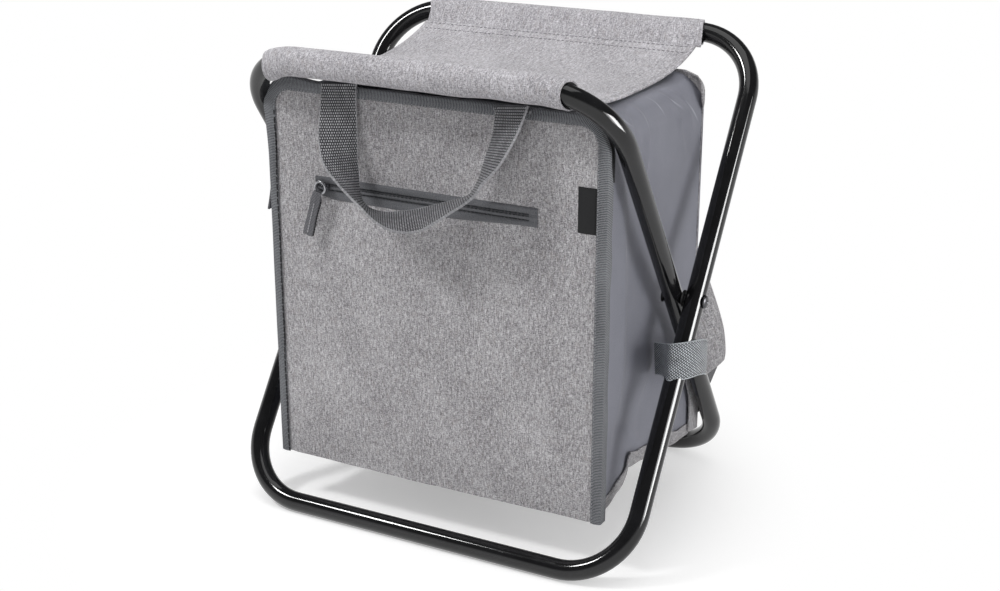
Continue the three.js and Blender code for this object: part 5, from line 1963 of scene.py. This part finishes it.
@dataclass
class Insulation:
    """Foam sheets behind the cloth and the foil liner that shows when the flap is open."""

    side_thickness: float = 0.0030
    flap_corner: float = 0.029
    rim: float = 0.0011
    film: float = 0.0009
    tub_corner: float = 0.010

    def build(self, shell: BagShell) -> list[Piece]:
        """Makes the foams and the liner.

        Args:
            shell: The bag's sides, whose hollows and lift the soft pieces follow, and which put some of them on the
                back.

        Returns:
            Every piece inside the bag.
        """
        made = []
        homes = {"front_foam": Body.FRONT, "flap_foam": Body.FLAP, "back_foam": Body.BACK,
                 "left_gusset_foam": None, "right_gusset_foam": None, "bottom_foam": None}
        for node, home in homes.items():
            piece = self._side_foam(node, shell) if "gusset" in node else self._foam(node, shell)
            if home is None:
                shell.crumple(piece)
            else:
                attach(piece, home.value)
            made.append(piece)
        return [*made, self._liner(shell)]

    def _side_foam(self, node: str, shell: BagShell) -> Piece:
        """A side's foam, which follows the hollow of the side cloth in front of it."""
        low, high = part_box(node)
        side = 1 if low.x > 0 else -1

        def place(u: float, v: float) -> Vector:
            """A point on the foam's outer face, from front to rear and from bottom to top."""
            y = low.y + (high.y - low.y) * u
            foot = low.z + 0.006 + max(shell.lift(shell.half, y), 0.0)
            z = foot + (high.z - foot) * v
            return Vector((side * (shell.half - 0.0017 - shell.hollow(side, y, z)), y, z))

        sheet = ClothSheet(f"{node}_sheet", place, (44, 60), self.side_thickness, flip=side < 0)
        piece = dress(sheet.build(), FOAM)
        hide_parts(node)
        return piece

    def _foam(self, node: str, shell: BagShell) -> Piece:
        """A sheet of foam with soft rims, in the place of its solid."""
        low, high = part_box(node)
        size, middle = high - low, (high + low) / 2
        bm = bmesh.new()
        block(bm, middle, size)
        if node == "flap_foam":
            corners = [e for e in bm.edges if abs(e.verts[0].co.x - e.verts[1].co.x) < 1e-6
                       and all(v.co.z > middle.z for v in e.verts)]
            rounded(bm, corners, self.flap_corner, 10)
        rims = [e for e in bm.edges if e.calc_face_angle(0.0) > math.radians(40)]
        rounded(bm, rims, self.rim, 3)
        if node == "bottom_foam":
            split_long(bm, 40)
            for vert in bm.verts:
                vert.co.z += max(shell.lift(vert.co.x, vert.co.y), 0.0)
        piece = settle(dress(piece_from(f"{node}_sheet", bm), FOAM))
        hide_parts(node)
        return piece

    def _liner(self, shell: BagShell) -> Piece:
        """The foil tub: a block without its top, with round corners and soft creases."""
        low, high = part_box("foil_liner")
        size, middle = high - low, (high + low) / 2
        bm = bmesh.new()
        block(bm, middle, size)
        lid = [face for face in bm.faces if face.normal.z > 0.9]
        bmesh.ops.delete(bm, geom=lid, context="FACES_ONLY")
        inner = [e for e in bm.edges if len(e.link_faces) == 2]
        rounded(bm, inner, self.tub_corner, 5)
        split_long(bm, 22)
        uv = bm.loops.layers.uv.new("UVMap")
        for face in bm.faces:
            face.normal_flip()
            for loop in face.loops:
                at, n = loop.vert.co, face.normal
                loop[uv].uv = (at.y, at.z) if abs(n.x) > 0.6 else (at.x, at.z + (at.y if abs(n.z) > 0.6 else 0))
        bmesh.ops.recalc_face_normals(bm, faces=bm.faces)
        for vert in bm.verts:
            side = 1 if vert.co.x > 0 else -1
            wall = ease(abs(vert.co.x), 0.125, 0.1400)
            crinkle = 0.0012 * max(ruffle(vert.co.x, vert.co.y, vert.co.z, 0.035) + 0.1, 0.0)
            vert.co.z += max(shell.lift(vert.co.x, vert.co.y), 0.0) * (1 - ease(vert.co.z, 0.055, 0.110))
            vert.co.x -= side * wall * (shell.hollow(side, vert.co.y, vert.co.z) + 0.0006 + crinkle)
        piece = piece_from("foil_tub", bm, recalculate=False)
        walled(piece, self.film)
        piece = settle(dress(piece, LINER_FOIL), 60)
        shell.crumple(piece)
        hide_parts("foil_liner")
        return piece


# ---- studio


@dataclass
class SoftLamp:
    """One rectangular studio lamp, aimed at a point of the stool."""

    name: str
    azimuth: float
    elevation: float
    distance: float
    size: tuple[float, float]
    power: float
    aim: tuple = (0.0, 0.0, 0.20)
    gloss_only: bool = False

    def build(self) -> Piece:
        """Sets up the lamp. Azimuth 0 is in front of the stool and 90 on its right.

        Returns:
            The lamp.
        """
        lamp = bpy.data.lights.new(self.name, "AREA")
        lamp.shape = "RECTANGLE"
        lamp.size, lamp.size_y = self.size
        lamp.energy = self.power
        around, up = math.radians(self.azimuth), math.radians(self.elevation)
        way = Vector((math.sin(around) * math.cos(up), -math.cos(around) * math.cos(up), math.sin(up)))
        thing = bpy.data.objects.new(self.name, lamp)
        thing.location = Vector(self.aim) + way * self.distance
        thing.rotation_euler = way.to_track_quat("Z", "Y").to_euler()
        thing.visible_diffuse = not self.gloss_only
        bpy.context.scene.collection.objects.link(thing)
        return thing


@dataclass
class Studio:
    """The pale floor, the white surroundings, the lamps and the camera."""

    floor_radius: float = 9.0
    floor_tone: float = 0.80
    floor_lift: float = 0.32
    white_shift: tuple = (0.045, 0.025, 0.0)
    white_reach: tuple = (0.17, 0.33, 0.0, 1.0)
    ambient: float = 0.49
    sky: tuple = (0.05, 0.40, 1.0, 0.10)
    lens: float = 56.925
    shift: tuple = (-0.014185, -0.019255)
    stand: tuple = (0.589664, -1.111479, 0.617682)
    heading: tuple = (27.337, 18.863, 0.251)
    lamps: tuple = (
        SoftLamp("key_lamp", -48, 46, 1.9, (0.3, 0.3), 15.4),
        SoftLamp("top_lamp", 0, 84, 2.0, (1.6, 1.6), 12.8),
        SoftLamp("right_lamp", 79, 11, 2.0, (0.7, 0.8), 12),
        SoftLamp("right_strip", 90, 12, 2.1, (0.75, 0.9), 42, gloss_only=True),
    )

    def build(self) -> None:
        """Sets up everything that isn't part of the stool."""
        scene = bpy.context.scene
        scene.view_settings.view_transform = "Standard"
        self._world()
        self._floor()
        for lamp in self.lamps:
            lamp.build()
        self._camera()

    def _camera(self) -> None:
        """The camera, at the angle and with the lens of the picture."""
        data = bpy.data.cameras.new("picture_camera")
        data.sensor_fit = "HORIZONTAL"
        data.sensor_width = 36.0
        data.lens = self.lens
        data.shift_x, data.shift_y = self.shift
        camera = bpy.data.objects.new("picture_camera", data)
        bpy.context.scene.collection.objects.link(camera)
        yaw, pitch, roll = (math.radians(angle) for angle in self.heading)
        ahead = Vector((-math.sin(yaw) * math.cos(pitch), math.cos(yaw) * math.cos(pitch), -math.sin(pitch)))
        right = Vector((math.cos(yaw), math.sin(yaw), 0))
        up = right.cross(ahead)
        turned_right = right * math.cos(roll) + up * math.sin(roll)
        turned_up = up * math.cos(roll) - right * math.sin(roll)
        axes = Matrix((turned_right, turned_up, -ahead)).transposed().to_4x4()
        camera.matrix_world = Matrix.Translation(self.stand) @ axes
        data.clip_end = 50
        bpy.context.scene.camera = camera

    def _world(self) -> None:
        """White to the camera and in glossy things, soft and pale for light."""
        world = bpy.data.worlds.new("studio_surroundings")
        bpy.context.scene.world = world
        world.use_nodes = True
        graph = Graph(world.node_tree)
        back = next(n for n in world.node_tree.nodes if n.type == "BACKGROUND")
        ray = graph.add("LightPath")
        seen = graph.sum("MAXIMUM", ray["Is Camera Ray"], ray["Is Transmission Ray"])
        height = graph.add("SeparateXYZ", {0: graph.add("TexCoord")["Generated"]})["Z"]
        gloss = graph.sum("MULTIPLY", ray["Is Glossy Ray"], graph.grade(height, *self.sky))
        bright = graph.sum("MAXIMUM", seen, gloss)
        light = graph.sum("MULTIPLY", ray["Is Diffuse Ray"], self.ambient)
        graph.feed(back.inputs["Strength"], graph.sum("MAXIMUM", bright, light))
        graph.feed(back.inputs["Color"], WHITE)

    def _floor(self) -> None:
        """A round pale floor that keeps the stool's shadow and turns white further out."""
        bm = bmesh.new()
        bmesh.ops.create_circle(bm, cap_ends=True, segments=96, radius=self.floor_radius)
        floor = piece_from("studio_floor", bm)
        material = bpy.data.materials.new("studio_floor")
        material.use_nodes = True
        material.node_tree.nodes.clear()
        graph = Graph(material.node_tree)
        ray = graph.add("LightPath")
        seen = graph.add("Math", {0: ray["Is Camera Ray"], 1: ray["Is Glossy Ray"]}, operation="ADD", use_clamp=True)[0]
        matt = graph.add("BsdfDiffuse", {"Color": (*(self.floor_tone,) * 3, 1.0)})[0]
        glow = graph.add("Emission", {"Strength": graph.sum("MULTIPLY", seen, self.floor_lift)})[0]
        near = graph.add("AddShader", {0: matt, 1: glow})[0]
        white = graph.add("Emission", {"Strength": 1.0})[0]
        place = graph.add("TexCoord")["Object"]
        shifted = graph.add("VectorMath", {0: place, 1: self.white_shift}, operation="ADD")[0]
        reach = graph.add("VectorMath", {0: shifted}, operation="LENGTH")["Value"]
        gate = graph.sum("MULTIPLY", graph.grade(reach, *self.white_reach), seen)
        mix = graph.add("MixShader", {0: gate, 1: near, 2: white})[0]
        graph.add("OutputMaterial", {"Surface": mix})
        floor.data.materials.append(material)


def main() -> None:
    """Builds the studio and every sub-assembly of the stool, and reports each piece."""
    logging.basicConfig(level=logging.INFO, format="%(message)s")
    Studio().build()
    shell = BagShell()
    groups = {
        "leg frames": LegFrames().build(),
        "seat": Seat().build(),
        "front": BagFront().build(),
        "pocket": Pocket().build(),
        "handle": CarryHandle().build(),
        "leg loops": LegLoops().build(),
        "shell": shell.build(),
        "back": BagBack().build(),
        "inside": Insulation().build(shell),
    }
    for group, made in groups.items():
        for piece in made:
            log.info("%s: %s, %d faces", group, piece.name, len(piece.data.polygons))


if __name__ == "__main__":
    main()
